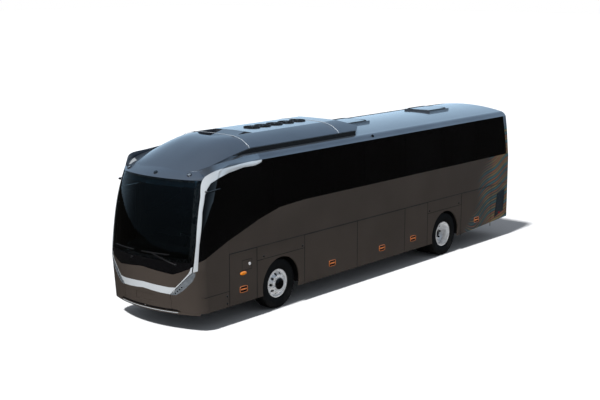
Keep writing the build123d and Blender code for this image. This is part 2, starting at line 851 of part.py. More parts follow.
with BuildPart() as chassis_frame:
    for hand in (1, -1):
        for start, end, (rail_foot, rail_top) in (
            (150, joint_door + 40, rail_z),
            (joint_locker, joint_arch_front, rail_z),
            (joint_arch_rear, joint_engine, raised_rail_z),
            (joint_engine, joint_tail, rail_z),
        ):
            near = along(start) + (0 if start == 150 else bulkhead / 2)
            away = along(end) - (50 if end == joint_tail else bulkhead / 2)
            x_mid = hand * rail_x
            add(block((x_mid - rail_width / 2, x_mid + rail_width / 2), (near, away), (rail_foot, rail_top)))
        for jack_y in jack_ys:
            pad_x = (hand * rail_x - jack_pad / 2, hand * rail_x + jack_pad / 2)
            add(block(pad_x, (jack_y - jack_pad / 2, jack_y + jack_pad / 2), (rail_z[0] - 20, rail_z[0])))
    add(block((-1000, 1000), (along(0), along(190)), rail_z) & under_leaf)
    add(block((-tow_half_width, tow_half_width), (along(120), along(190)), (370, rail_z[0])))
    add(rod(0, along(110), 415, tow_bore_radius, 90, "Y"), mode=Mode.SUBTRACT)
save(chassis_frame.part, "chassis_frame")

with BuildPart() as engine_block:
    add(block((-rail_x, rail_x), (along(joint_engine) + 200, along(joint_tail) - 350), (rail_z[1], 1330)))
save(engine_block.part, "engine_block")

arm_pivot = (-1140, along(595))
arm_length = 420
arm_zs = (700, 1090)
pin_radius = 14

# entrance: three treads rising inwards from the right-hand doorway
tread = 235
riser = (platform_z - 400) / 3
stair_x = -side_x + wall + 10
with BuildPart() as entrance_steps:
    outline = [(stair_x, 370)]
    for step in range(3):
        outline += [(stair_x + step * tread, 400 + step * riser), (stair_x + (step + 1) * tread, 400 + step * riser)]
    outline += [
        (stair_x + 3 * tread, 400 + 3 * riser),
        (stair_x + 3 * tread + 30, 400 + 3 * riser),
        (stair_x + 3 * tread + 30, 400 + 2 * riser - 60),
        (stair_x + tread, 370),
    ]
    add(front_prism(outline, along(door_front), along(joint_door)))
    add(rod(*arm_pivot, 400, 26, arm_zs[0] - running_gap - 400, "Z"))
    add(rod(*arm_pivot, arm_zs[0] - running_gap, pin_radius, arm_zs[1] + 60 - arm_zs[0], "Z"))
save(entrance_steps.part, "entrance_steps")

# ---- dashboard, seats, steering wheel ----
driver_x = 640


def seat(x, y, z, seat_width, back_height):
    # one seat: cushion on a pedestal with a leaning back, all one solid
    with BuildPart() as chair:
        with BuildSketch(Plane.YZ.offset(x - seat_width / 2)):
            with BuildLine():
                Polyline(
                    (y - 200, z + 300),
                    (y - 200, z + 450),
                    (y + 190, z + 430),
                    (y + 300, z + back_height),
                    (y + 390, z + back_height - 10),
                    (y + 280, z + 300),
                    close=True,
                )
            make_face()
        extrude(amount=seat_width)
        with BuildSketch(Plane.XY.offset(z)):
            with Locations((x, y + 40)):
                Rectangle(seat_width * 0.6, 260)
        extrude(amount=300)
    return chair.part


with BuildPart() as seats:
    add(seat(driver_x, along(1000), platform_z, 500, 1150))
    for row in range(11):
        for hand in (1, -1):
            add(seat(hand * 725, along(2100) + row * seat_pitch, floor_z + floor_plate, 900, 1080))
save(seats.part, "seats")

wheel_tilt = 28
steering_centre = (driver_x, along(640), 1790)
steering_axis = (0, sin(radians(wheel_tilt)), cos(radians(wheel_tilt)))
steering_plane = Plane(origin=steering_centre, x_dir=(1, 0, 0), z_dir=steering_axis)
with BuildPart() as steering_wheel:
    with BuildSketch(Plane(origin=steering_centre, x_dir=(1, 0, 0), z_dir=steering_plane.y_dir)) as rim_section:
        with Locations((225, 0)):
            Circle(15)
    revolve(axis=Axis(steering_centre, steering_axis))
    with BuildSketch(steering_plane.offset(-12)):
        Circle(55)
        Rectangle(440, 40)
        with Locations((0, -110)):
            Rectangle(40, 220)
    extrude(amount=20)
save(steering_wheel.part, "steering_wheel")

with BuildPart() as dashboard:
    add(
        side_prism(
            [
                (along(-50), 1120),
                (along(420), 1120),
                (along(560), 1450),
                (along(620), 1560),
                (along(400), 1640),
                (along(-50), 1500),
            ],
            -560,
            1180,
        )
        & under_wall
    )
    with BuildSketch(steering_plane.offset(-12 - running_gap)):
        Circle(35)
    extrude(amount=-300)
save(dashboard.part, "dashboard")

# ---- doors ----
door_outline = [
    (along(door_front) + panel_gap, skirt_z + 20),
    (along(joint_door) - panel_gap, skirt_z + 20),
    (along(joint_door) - panel_gap, door_top_z),
    (along(door_front) + door_slant + panel_gap - 2, door_top_z),
    (along(door_front) + panel_gap, door_slant_z + 2),
]
door_window = [
    (along(door_front) + 100, 1150),
    (along(joint_door) - 100, 1150),
    (along(joint_door) - 100, door_top_z - 110),
    (along(door_front) + door_slant + 60, door_top_z - 110),
    (along(door_front) + 100, door_slant_z - 30),
]
with BuildPart() as passenger_door:
    add(outer)
    add(under_leaf, mode=Mode.SUBTRACT)
    add(side_prism(door_outline, -width, 0), mode=Mode.INTERSECT)
    add(side_prism(door_window, -width, 0), mode=Mode.SUBTRACT)
    for arm_z in arm_zs:
        for ear_z in (arm_z - 22 - running_gap, arm_z + 30 + running_gap):
            ear = block(
                (-side_x + leaf, arm_pivot[0] + 30),
                (arm_pivot[1] + arm_length - 30, arm_pivot[1] + arm_length + 30),
                (ear_z, ear_z + 22),
            )
            add(ear - rod(arm_pivot[0], arm_pivot[1] + arm_length, ear_z - 5, pin_radius + running_gap, 40, "Z"))
save(passenger_door.part, "passenger_door")

with BuildPart() as passenger_door_glass:
    add(glass_layer)
    add(side_prism(door_window, -width, 0), mode=Mode.INTERSECT)
save(passenger_door_glass.part, "passenger_door_glass")

with BuildPart() as door_arm:
    for arm_z in arm_zs:
        with BuildSketch(Plane.XY.offset(arm_z)):
            with Locations((arm_pivot[0], arm_pivot[1] + arm_length / 2)):
                SlotCenterToCenter(arm_length, 50, rotation=90)
            with Locations(arm_pivot):
                Circle(pin_radius + running_gap, mode=Mode.SUBTRACT)
        extrude(amount=30)
        with BuildSketch(Plane.XY.offset(arm_z - 25)):
            with Locations((arm_pivot[0], arm_pivot[1] + arm_length)):
                Circle(pin_radius)
        extrude(amount=80)
save(door_arm.part, "door_arm")

# ---- axles, knuckles and wheels ----


def spin_plane(y):
    return Plane(origin=(0, y, tyre_radius), x_dir=(1, 0, 0), z_dir=(0, -1, 0))


def axle_line(y):
    return Axis((0, y, tyre_radius), (1, 0, 0))


def tyre_ring(x, y):
    # one tyre: bulged sidewalls between the rim flanges and a flat tread with rounded shoulders
    half = tyre_width / 2
    bead = tyre_bead / 2
    with BuildPart() as ring:
        with BuildSketch(spin_plane(y)):
            with BuildLine():
                for hand in (1, -1):
                    Line((x + hand * bead, rim_seat_radius), (x + hand * bead, rim_flange_radius + 2))
                    ThreePointArc(
                        (x + hand * bead, rim_flange_radius + 2),
                        (x + hand * half, 400),
                        (x + hand * (half - 8), tyre_radius - 30),
                    )
                    Line((x + hand * (half - 8), tyre_radius - 30), (x + hand * (half - 26), tyre_radius))
                Line((x + half - 26, tyre_radius), (x - half + 26, tyre_radius))
                Line((x + bead, rim_seat_radius), (x - bead, rim_seat_radius))
            make_face()
        revolve(axis=axle_line(y))
    return ring.part


def rim(x, y, side, disc_x):
    # wheel rim between its flanges, with a dished disc reaching to disc_x on the given side and ten hand holes
    bead = tyre_bead / 2
    with BuildPart() as wheel:
        with BuildSketch(spin_plane(y)):
            with BuildLine():
                Polyline(
                    (x - bead - 10, rim_flange_radius),
                    (x - bead, rim_flange_radius),
                    (x - bead, rim_seat_radius),
                    (x + bead, rim_seat_radius),
                    (x + bead, rim_flange_radius),
                    (x + bead + 10, rim_flange_radius),
                    (x + bead + 10, rim_seat_radius - 12),
                    (x + 40, 256),
                    (x - 40, 256),
                    (x - bead - 10, rim_seat_radius - 12),
                    close=True,
                )
            make_face()
        revolve(axis=axle_line(y))
        with BuildSketch(spin_plane(y)):
            with BuildLine():
                Polyline(
                    (disc_x, 0),
                    (disc_x, stud_circle + 25),
                    (x + side * 60, 265),
                    (x + side * 40, 265),
                    (disc_x - side * disc_plate, stud_circle + 18),
                    (disc_x - side * disc_plate, 0),
                    close=True,
                )
            make_face()
        revolve(axis=axle_line(y))
        with BuildSketch(Plane(origin=(disc_x - 200, y, tyre_radius), x_dir=(0, 1, 0), z_dir=(1, 0, 0))):
            with PolarLocations(hand_hole_circle, 10):
                Circle(hand_hole_radius)
        extrude(amount=400, mode=Mode.SUBTRACT)
    return wheel.part


spindle_radius = 45
front_hub_out = 30
rear_hub_out = 120
hub_radius = 92
for hand, side in ((1, "left"), (-1, "right")):
    front_disc_x = hand * (front_wheel_x + front_dish)
    twin_x = hand * twin_plane_x
    outer_x = hand * (twin_plane_x + twin_spacing / 2)
    inner_x = hand * (twin_plane_x - twin_spacing / 2)
    with BuildPart() as front_tyre:
        add(tyre_ring(hand * front_wheel_x, front_axle_y))
    save(front_tyre.part, f"front_tyre_{side}")
    with BuildPart() as front_rim:
        add(rim(hand * front_wheel_x, front_axle_y, hand, front_disc_x))
        add(rod(front_disc_x, front_axle_y, tyre_radius, hub_radius, hand * front_hub_out, "X"))
    save(front_rim.part, f"front_rim_{side}")
    with BuildPart() as rear_tyres:
        add(tyre_ring(outer_x, rear_axle_y))
        add(tyre_ring(inner_x, rear_axle_y))
    save(rear_tyres.part, f"rear_tyres_{side}")
    with BuildPart() as rear_rims:
        add(rim(outer_x, rear_axle_y, -hand, twin_x))
        add(rim(inner_x, rear_axle_y, hand, twin_x))
        add(rod(twin_x, rear_axle_y, tyre_radius, hub_radius, hand * rear_hub_out, "X"))
    save(rear_rims.part, f"rear_rims_{side}")
    # steering knuckle: spindle, upright and kingpin
    upright = 45
    kingpin_radius = 25
    with BuildPart() as knuckle:
        spindle_x = hand * (kingpin_x + upright)
        spindle_end = front_disc_x - hand * (disc_plate + running_gap)
        add(rod(spindle_x, front_axle_y, tyre_radius, spindle_radius, spindle_end - spindle_x, "X"))
        add(
            block(
                (hand * kingpin_x - upright, hand * kingpin_x + upright),
                (front_axle_y - 60, front_axle_y + 60),
                (tyre_radius - 110, tyre_radius + 110),
            )
        )
        add(rod(hand * kingpin_x, front_axle_y, tyre_radius - 150, kingpin_radius, 40, "Z"))
    save(knuckle.part, f"front_knuckle_{side}")

axle_tube_end = twin_plane_x - disc_plate - running_gap
with BuildPart() as axles:
    beam_end = kingpin_x - 60
    beam_y = (front_axle_y - 55, front_axle_y + 55)
    beam_z = (tyre_radius - 150, tyre_radius - 110 - running_gap)
    add(block((-beam_end, beam_end), beam_y, beam_z))
    for hand in (1, -1):
        add(block((hand * kingpin_x - 60, hand * kingpin_x + 60), beam_y, beam_z))
        add(
            rod(hand * kingpin_x, front_axle_y, tyre_radius - 160, kingpin_radius + running_gap, 60, "Z"),
            mode=Mode.SUBTRACT,
        )
        add(block((hand * rail_x - 50, hand * rail_x + 50), beam_y, (beam_z[0], rail_z[0])))
    add(rod(-axle_tube_end, rear_axle_y, tyre_radius, 80, 2 * axle_tube_end, "X"))
    with BuildSketch(Plane.XY.offset(tyre_radius - 190)):
        with Locations((0, rear_axle_y)):
            Circle(210)
    extrude(amount=380)
    for hand in (1, -1):
        x_mid = hand * rail_x
        add(
            block(
                (x_mid - rail_width / 2, x_mid + rail_width / 2),
                (rear_axle_y - 60, rear_axle_y + 60),
                (tyre_radius, raised_rail_z[0]),
            )
        )
save(axles.part, "axles")

# ---- camera pods and wipers, laid along the body's surface ----
over_pod = body_form(-58)
pod_gap = body_form(-22)
pod_outline = [
    (along(560), 2700),
    (along(640), 2700),
    (along(1190), 2752),
    (along(1215), 2770),
    (along(1190), 2788),
    (along(640), 2752),
    (along(560), 2748),
]
with BuildPart() as camera_pods:
    add((over_pod - pod_gap) & side_prism(pod_outline, -width, width))
    add((over_pod - outer) & side_prism(y_box(along(575), along(625), 2700, 2748), -width, width))
save(camera_pods.part, "camera_pods")

wiper_layer = pod_gap - over_gap
# blades and arms as thin strips between two points seen from the front
wiper_lines = (((-20, 1500), (660, 1510), 16), ((230, 1505), (800, 1325), 20), ((-900, 1490), (-240, 1500), 16))
with BuildPart() as wipers:
    for (x_from, z_from), (x_to, z_to), thick in wiper_lines:
        strip = [(x_from, z_from), (x_to, z_to), (x_to, z_to + thick), (x_from, z_from + thick)]
        add(wiper_layer & front_prism(strip, -length, 0))
save(wipers.part, "wipers")
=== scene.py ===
import json
import math
import bmesh
import bpy
import numpy as np
from mathutils import Euler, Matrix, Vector


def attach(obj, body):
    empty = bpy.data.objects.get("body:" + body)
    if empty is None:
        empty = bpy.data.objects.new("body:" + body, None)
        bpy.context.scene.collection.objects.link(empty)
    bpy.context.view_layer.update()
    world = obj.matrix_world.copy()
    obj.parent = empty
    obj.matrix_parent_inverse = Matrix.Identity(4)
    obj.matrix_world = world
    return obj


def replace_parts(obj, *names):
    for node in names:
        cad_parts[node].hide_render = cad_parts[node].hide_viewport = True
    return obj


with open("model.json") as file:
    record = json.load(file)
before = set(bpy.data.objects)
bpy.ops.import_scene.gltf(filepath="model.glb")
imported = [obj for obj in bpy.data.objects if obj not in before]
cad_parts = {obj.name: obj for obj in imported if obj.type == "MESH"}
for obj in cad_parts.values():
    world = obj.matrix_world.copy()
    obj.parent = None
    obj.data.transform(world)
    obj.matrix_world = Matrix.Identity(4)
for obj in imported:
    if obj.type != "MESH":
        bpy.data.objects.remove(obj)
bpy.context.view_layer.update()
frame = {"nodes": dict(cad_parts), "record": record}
nodes = frame["nodes"]
scene = bpy.context.scene
print("frame loaded:", len(nodes), "nodes")

# camera: place, heading, tilt downwards and lens
view = {
    "place": (16.638, -21.219, 6.795), "heading": 39.615, "down": 10.82,
    "lens": 71.34, "sensor": 36.0, "far": 400.0,
}
cameraData = bpy.data.cameras.new("camera")
cameraData.lens = view["lens"]
cameraData.sensor_width = view["sensor"]
cameraData.clip_end = view["far"]
camera = bpy.data.objects.new("camera", cameraData)
camera.location = view["place"]
camera.rotation_euler = Euler((math.radians(90 - view["down"]), 0, math.radians(view["heading"])))
scene.collection.objects.link(camera)
scene.camera = camera
scene.view_settings.view_transform = "Standard"


def newTree(name):
    # an empty node material: its Principled BSDF on the way to the output
    material = bpy.data.materials.new(name)
    material.use_nodes = True
    tree = material.node_tree
    tree.nodes.clear()
    output = tree.nodes.new("ShaderNodeOutputMaterial")
    shader = tree.nodes.new("ShaderNodeBsdfPrincipled")
    tree.links.new(shader.outputs[0], output.inputs[0])
    return material, tree, shader


def fill(tree, node, inputs):
    # each named input gets a number, a colour or another node's output
    for key, value in inputs.items():
        if isinstance(value, bpy.types.NodeSocket):
            tree.links.new(value, node.inputs[key])
        else:
            node.inputs[key].default_value = value
    return node


def put(tree, kind, inputs=None, **settings):
    # one shader node with its settings and its inputs
    node = tree.nodes.new("ShaderNode" + kind)
    for key, value in settings.items():
        setattr(node, key, value)
    return fill(tree, node, inputs or {})


def maths(tree, operation, a, b=0.0, clamp=False):
    # one operation on two values, held from 0 to 1 where clamp is set
    node = put(tree, "Math", {0: a, 1: b}, operation=operation, use_clamp=clamp)
    return node.outputs[0]


def times(tree, a, b):
    # a * b
    return maths(tree, "MULTIPLY", a, b)


def wave(tree, value, rate, reach, shift=None):
    # reach * sin(rate * value + shift)
    turn = times(tree, value, rate)
    if shift:
        turn = maths(tree, "ADD", turn, shift)
    return times(tree, maths(tree, "SINE", turn), reach)


def ramp(tree, value, low, high, lowOut=0.0, highOut=1.0):
    # smooth step of a value between low and high
    inputs = {"Value": value, "From Min": low, "From Max": high, "To Min": lowOut, "To Max": highOut}
    return put(tree, "MapRange", inputs, interpolation_type="SMOOTHSTEP").outputs[0]


def mix(tree, factor, a, b):
    # a * (1 - factor) + b * factor
    return put(tree, "Mix", {0: factor, 6: a, 7: b}, data_type="RGBA").outputs[2]


def scaled(tree, colour, share):
    # colour * share
    node = put(tree, "VectorMath", {0: colour}, operation="SCALE")
    return fill(tree, node, {"Scale": share}).outputs[0]


def newGroup(name, inputs, outputs):
    # a node group with named sockets: numbers, or colours where the value is a tuple
    group = bpy.data.node_groups.new(name, "ShaderNodeTree")
    for key, value in inputs.items():
        kind = "NodeSocketColor" if isinstance(value, tuple) else "NodeSocketFloat"
        socket = group.interface.new_socket(name=key, in_out="INPUT", socket_type=kind)
        socket.default_value = value
    for key, kind in outputs.items():
        group.interface.new_socket(name=key, in_out="OUTPUT", socket_type="NodeSocket" + kind)
    return group, group.nodes.new("NodeGroupInput"), group.nodes.new("NodeGroupOutput")


def useGroup(tree, group, **inputs):
    # a shared effect with its inputs set
    return put(tree, "Group", inputs, node_tree=group)


def objectPlace(tree):
    # a point's place in its object's own coordinates
    return put(tree, "TexCoord").outputs["Object"]


def axes(tree, coordinates="Object"):
    # x, y and z of a point, each by itself
    place = put(tree, "TexCoord").outputs[coordinates]
    return put(tree, "SeparateXYZ", {0: place}).outputs


def noise(tree, scale, detail=2.0, roughness=0.5):
    # cloudy noise over the object's own coordinates, 0 to 1
    inputs = {"Scale": scale, "Detail": detail, "Roughness": roughness, "Vector": objectPlace(tree)}
    return put(tree, "TexNoise", inputs).outputs[0]


def bumped(tree, shader, height, strength, distance):
    # leans the shading normal along the slope of a height
    bump = put(tree, "Bump", {"Height": height, "Strength": strength, "Distance": distance})
    fill(tree, shader, {"Normal": bump.outputs[0]})


def roadDustGroup():
    # dust from the wheels: full at the ground, gone at Reach, times patches, times fine grain
    inputs = {"Colour": (0.5, 0.5, 0.5, 1), "Dust": (0.16, 0.14, 0.12, 1), "Amount": 0.35, "Reach": 0.9}
    group, given, result = newGroup("roadDust", inputs, {"Colour": "Color", "Mask": "Float"})
    fall = maths(group, "DIVIDE", axes(group)[2], given.outputs["Reach"])
    near = ramp(group, fall, 0.0, 1.0, 1.0, 0.0)
    patches = ramp(group, noise(group, 3.0, 4.0, 0.6), 0.35, 0.75)
    fine = ramp(group, noise(group, 60.0, 3.0, 0.7), 0.3, 0.8, 0.5, 1.0)
    dirt = times(group, times(group, near, patches), fine)
    mask = maths(group, "MULTIPLY", dirt, given.outputs["Amount"], True)
    dusty = mix(group, mask, given.outputs["Colour"], given.outputs["Dust"])
    fill(group, result, {"Mask": mask, "Colour": dusty})
    return group


def flakeGroup():
    # metal flakes: colour * (1 + (grey of a tiny cell - 0.5) * Spread + a broad drift in tone)
    inputs = {"Colour": (0.1, 0.1, 0.1, 1.0), "Spread": 0.3}
    group, given, result = newGroup("flakes", inputs, {"Colour": "Color", "Height": "Float"})
    cells = put(group, "TexVoronoi", {"Scale": 900.0, "Vector": objectPlace(group)})
    grey = put(group, "RGBToBW", {0: cells.outputs["Color"]}).outputs[0]
    drift = ramp(group, noise(group, 0.8, 2.0), 0.3, 0.7, -0.08, 0.08)
    spread = times(group, maths(group, "SUBTRACT", grey, 0.5), given.outputs["Spread"])
    tone = maths(group, "ADD", maths(group, "ADD", spread, drift), 1.0)
    fill(group, result, {
        "Colour": scaled(group, given.outputs["Colour"], tone), "Height": noise(group, 260.0, 1.0),
    })
    return group


def mouldedGroup():
    # moulded plastic: height = small round cells + a faint waviness; shade drifts by 15 per cent
    group, given, result = newGroup("moulded", {"Scale": 400.0}, {"Height": "Float", "Shade": "Float"})
    cells = put(group, "TexVoronoi", {"Vector": objectPlace(group)}, feature="SMOOTH_F1")
    fill(group, cells, {"Scale": given.outputs["Scale"]})
    fill(group, result, {
        "Height": maths(group, "ADD", cells.outputs[0], noise(group, 30.0, 2.0)),
        "Shade": ramp(group, noise(group, 12.0, 4.0, 0.6), 0.3, 0.7, 0.85, 1.15),
    })
    return group


roadDust = roadDustGroup()
flakes = flakeGroup()
moulded = mouldedGroup()

# coach paint: colours, the roof's blue-grey being painted sky reflection on the same paint, where the
# roof's begins, and how dust dulls it
paint = {
    "body": (0.09, 0.072, 0.06, 1), "roof": (0.19, 0.212, 0.243, 1),
    "roofFrom": 2.86, "roofTo": 2.94, "metal": 0.45, "roofMetal": 0.85,
    "rough": 0.32, "dustyRough": 0.8, "dust": 0.22, "dustReach": 0.8,
}
# wave lines on the tail: colours, extent, and each wave as (turns per metre, reach)
art = {
    "ground": (0.06, 0.078, 0.088, 1), "orange": (0.55, 0.2, 0.07, 1),
    "gold": (0.5, 0.33, 0.1, 1), "teal": (0.1, 0.28, 0.3, 1), "strength": 0.6,
    "from": 3.55, "fade": 0.35, "side": 1.19, "lean": 0.55, "lines": 14.0, "hueStep": 0.382,
    "slow": (1.9, 0.26), "quick": (4.7, 0.07), "ripple": (4.6, 0.14), "width": (0.12, 0.34),
}


def quarterArt(tree, colour):
    # wave lines on the tail's sides: height plus two sines of the length, cut into bands, each a
    # thin line whose colour goes by its number
    x, y, z = axes(tree)
    slow = wave(tree, y, *art["slow"])
    quick = wave(tree, y, *art["quick"], z)
    height = maths(tree, "ADD", maths(tree, "ADD", z, slow), quick)
    bands = times(tree, height, art["lines"])
    number = maths(tree, "FRACT", times(tree, maths(tree, "FLOOR", bands), art["hueStep"]))
    hue = mix(tree, maths(tree, "GREATER_THAN", number, 0.34), art["orange"], art["teal"])
    hue = mix(tree, maths(tree, "GREATER_THAN", number, 0.67), hue, art["gold"])
    width = ramp(tree, noise(tree, 1.3, 1.0), 0.35, 0.65, *art["width"])
    middle = maths(tree, "SUBTRACT", maths(tree, "FRACT", bands), 0.5)
    line = maths(tree, "LESS_THAN", maths(tree, "ABSOLUTE", middle), width)
    ground = mix(tree, times(tree, line, art["strength"]), art["ground"], hue)
    onSide = maths(tree, "GREATER_THAN", maths(tree, "ABSOLUTE", x), art["side"])
    lean = maths(tree, "SUBTRACT", y, times(tree, z, art["lean"]))
    ripple = wave(tree, z, *art["ripple"])
    behind = ramp(tree, maths(tree, "ADD", lean, ripple), art["from"], art["from"] + art["fade"])
    return mix(tree, times(tree, onSide, behind), colour, ground)


def coachPaint():
    # metallic paint, painted blue-grey on the roof as a painted sky reflection, duller where dust lies
    material, tree, shader = newTree("taupePaint")
    top = axes(tree)[2]
    # above the header the colour turns blue-grey: painted sky reflection on the roof
    skyReflectionOnRoof = ramp(tree, top, paint["roofFrom"], paint["roofTo"])
    metal = ramp(tree, top, paint["roofFrom"], paint["roofTo"], paint["metal"], paint["roofMetal"])
    colour = mix(tree, skyReflectionOnRoof, quarterArt(tree, paint["body"]), paint["roof"])
    flake = useGroup(tree, flakes, Spread=0.25, Colour=colour)
    dust = useGroup(
        tree, roadDust, Colour=flake.outputs["Colour"], Amount=paint["dust"], Reach=paint["dustReach"]
    )
    mask = dust.outputs["Mask"]
    fill(tree, shader, {
        "Metallic": metal, "Base Color": dust.outputs["Colour"],
        "Roughness": ramp(tree, mask, 0.0, 1.0, paint["rough"], paint["dustyRough"]),
        "Coat Weight": ramp(tree, mask, 0.0, 0.6, 1.0, 0.2), "Coat Roughness": 0.04,
    })
    bumped(tree, shader, flake.outputs["Height"], 0.04, 0.001)
    return material


def silverPaint():
    # pale metallic paint under a clear coat
    material, tree, shader = newTree("silverPaint")
    flake = useGroup(tree, flakes, Colour=(0.62, 0.65, 0.67, 1), Spread=0.12)
    fill(tree, shader, {
        "Base Color": flake.outputs["Colour"], "Metallic": 0.3, "Roughness": 0.35,
        "Coat Weight": 1.0, "Coat Roughness": 0.05,
    })
    bumped(tree, shader, flake.outputs["Height"], 0.03, 0.001)
    return material


def darkGlass():
    # near-black side glass, drifting a little in tone, faintly wavy
    material, tree, shader = newTree("darkGlass")
    tone = ramp(tree, noise(tree, 0.6, 2.0), 0.3, 0.7, 0.0012, 0.0022)
    colour = put(tree, "CombineColor", {0: tone, 1: tone, 2: times(tree, tone, 1.1)})
    fill(tree, shader, {"Base Color": colour.outputs[0], "Roughness": 0.03, "IOR": 1.5})
    bumped(tree, shader, noise(tree, 1.6, 1.0), 0.03, 0.02)
    return material


def screenGlass():
    # tinted clear glass
    material, tree, shader = newTree("screenGlass")
    tint = mix(tree, noise(tree, 0.8, 1.0), (0.3, 0.36, 0.36, 1), (0.26, 0.32, 0.33, 1))
    fill(tree, shader, {
        "Base Color": tint, "Roughness": 0.01, "Transmission Weight": 1.0, "IOR": 1.45,
    })
    bumped(tree, shader, noise(tree, 1.2, 1.0), 0.02, 0.02)
    return material


def plainFinish(name, colour, rough, metal=0, grain=400, depth=0.06, dust=0, coat=0, shine=0.5):
    # a moulded or painted finish: shade drift, grain and, low down, road dust
    material, tree, shader = newTree(name)
    grainNode = useGroup(tree, moulded, Scale=grain)
    shaded = scaled(tree, colour, grainNode.outputs["Shade"])
    dusty = useGroup(tree, roadDust, Colour=shaded, Amount=dust, Reach=0.9)
    fill(tree, shader, {
        "Base Color": dusty.outputs["Colour"], "Metallic": metal, "Coat Weight": coat,
        "Roughness": ramp(tree, dusty.outputs["Mask"], 0.0, 1.0, rough, 0.9),
        "Specular IOR Level": shine,
    })
    bumped(tree, shader, grainNode.outputs["Height"], depth, 0.002)
    return material


finishes = {
    "coach_paint": coachPaint(),
    "silver_paint": silverPaint(),
    "black_glass": darkGlass(),
    "screen_glass": screenGlass(),
    "gloss_black": plainFinish("glossBlack", (0.0025, 0.0025, 0.003), 0.12, 0, 40, 0.01, coat=1),
    "clear_lens": plainFinish("clearLens", (0.3, 0.33, 0.36), 0.08, 0.6, 90, 0.1, coat=1),
    "red_lens": plainFinish("redLens", (0.3, 0.012, 0.01), 0.12, 0, 120, 0.25, coat=1),
    "black_plastic": plainFinish("blackPlastic", (0.009, 0.009, 0.0095), 0.5, dust=0.1, shine=0.2),
    "frame_steel": plainFinish("frameSteel", (0.028, 0.028, 0.03), 0.55, 0.2, 150, dust=0.5),
    "cast_iron": plainFinish("castIron", (0.055, 0.052, 0.05), 0.65, 0.6, 220, 0.25, 0.6),
    "tyre": plainFinish("tyreRubber", (0.0055, 0.0055, 0.0055), 0.75, 0, 300, 0.15, 0.1, shine=0.12),
    "wheel_aluminium": plainFinish("polishedAluminium", (0.92, 0.92, 0.92), 0.22, 0.35, 60, 0.02, 0.12),
    "seat_fabric": plainFinish("seatFabric", (0.05, 0.05, 0.06), 0.85, grain=700, depth=0.4),
    "wheel_grip": plainFinish("wheelGrip", (0.02, 0.02, 0.02), 0.45, grain=500, depth=0.2),
}
orangePlastic = plainFinish("orangePlastic", (0.62, 0.16, 0.02), 0.35, grain=260, coat=0.6)
amberLens = plainFinish("amberLens", (0.75, 0.22, 0.01), 0.1, grain=140, depth=0.2, coat=1)
# the windscreen's top band: a tint, its pale blue partly painted sky reflection
tintAndSkyReflectionFilm = plainFinish("tintAndSkyReflectionFilm", (0.035, 0.065, 0.095), 0.2, grain=60, coat=0.5)
for entry in frame["record"]["subparts"]:
    mesh = nodes[entry["node"]].data
    mesh.materials.clear()
    mesh.materials.append(finishes[entry["material_slot"]])
print("finishes set")

sides = (("left", 1), ("right", -1))
sideX = 1.2713
frontY = -5.925
crease = math.radians(38)


def shells(name, grids, slot, body="coach", finish=None):
    # one mesh from point grids (rows x columns x 3), with rows or columns joined up, ends capped
    corners, faces, base = [], [], 0
    for points, joinRows, joinColumns, capped in grids:
        rows, columns = points.shape[:2]
        index = np.arange(rows * columns).reshape(rows, columns) + base
        grid = np.vstack([index, index[:1]]) if joinRows else index
        grid = np.hstack([grid, grid[:, :1]]) if joinColumns else grid
        around = [grid[:-1, :-1], grid[1:, :-1], grid[1:, 1:], grid[:-1, 1:]]
        faces += np.stack(around, axis=-1).reshape(-1, 4).tolist()
        if capped:
            faces += [index[0][::-1].tolist(), index[-1].tolist()]
        corners.append(points.reshape(-1, 3))
        base += rows * columns
    mesh = bpy.data.meshes.new(name)
    mesh.from_pydata(np.concatenate(corners), [], faces)
    work = bmesh.new()
    work.from_mesh(mesh)
    bmesh.ops.recalc_face_normals(work, faces=work.faces)
    work.to_mesh(mesh)
    work.free()
    mesh.shade_smooth()
    mesh.set_sharp_from_angle(angle=crease)
    piece = bpy.data.objects.new(name, mesh)
    scene.collection.objects.link(piece)
    mesh.materials.append(finish or finishes[slot])
    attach(piece, body)
    return piece


def circle(count):
    # evenly spaced angles over one full turn
    return np.linspace(0, 2 * np.pi, count, endpoint=False)


def frameOf(outward, up=(0, 0, 1)):
    # rows: across, up and outward, for a detail that faces outward
    outward = np.array(outward, float) / np.linalg.norm(outward)
    across = np.cross(up, outward)
    across /= np.linalg.norm(across)
    return np.stack([across, np.cross(outward, across), outward])


def raised(value, power):
    # the value's size raised to the power, with its sign kept
    return np.sign(value) * abs(value) ** power


def loop(halfX, halfY, power, count):
    # superellipse: cosine and sine of the turn, each raised to 2 / power with its sign kept
    turn = circle(count)
    c, s = raised(np.cos(turn), 2 / power), raised(np.sin(turn), 2 / power)
    return np.stack([halfX * c, halfY * s], -1)


def plate(
    centre, outward, halfX, halfY, depth,
    power=5.0, edge=0.003, count=40, sink=0.004, up=(0, 0, 1),
):
    # a flat button: superellipse rings from the foot, up the side, round the edge, over the face
    ring = loop(1, 1, power, count)
    steps = ((0, -sink), (0, depth - edge), (0.3 * edge, depth - 0.3 * edge), (edge, depth))
    layers = []
    for inset, height in steps:
        size = np.array((halfX - inset, halfY - inset))
        layers.append(np.column_stack([ring * size, np.full(count, height)]))
    return np.array(layers) @ frameOf(outward, up) + np.array(centre), False, True, True


def ringTube(
    centre, outward, halfX, halfY, radius, power=5.0, count=48, facets=8, up=(0, 0, 1)
):
    # a tube bent round a superellipse; each section stands square to the loop's middle
    ring = loop(1, 1, power, count)[:, None, :] * np.array((halfX, halfY))
    turn = circle(facets)
    away = ring / np.linalg.norm(ring, axis=-1, keepdims=True)
    flat = ring + away * (radius * np.cos(turn))[None, :, None]
    height = np.broadcast_to(radius * np.sin(turn), flat.shape[:2])
    points = np.dstack([flat, height]) @ frameOf(outward, up) + np.array(centre)
    return points, True, True, False


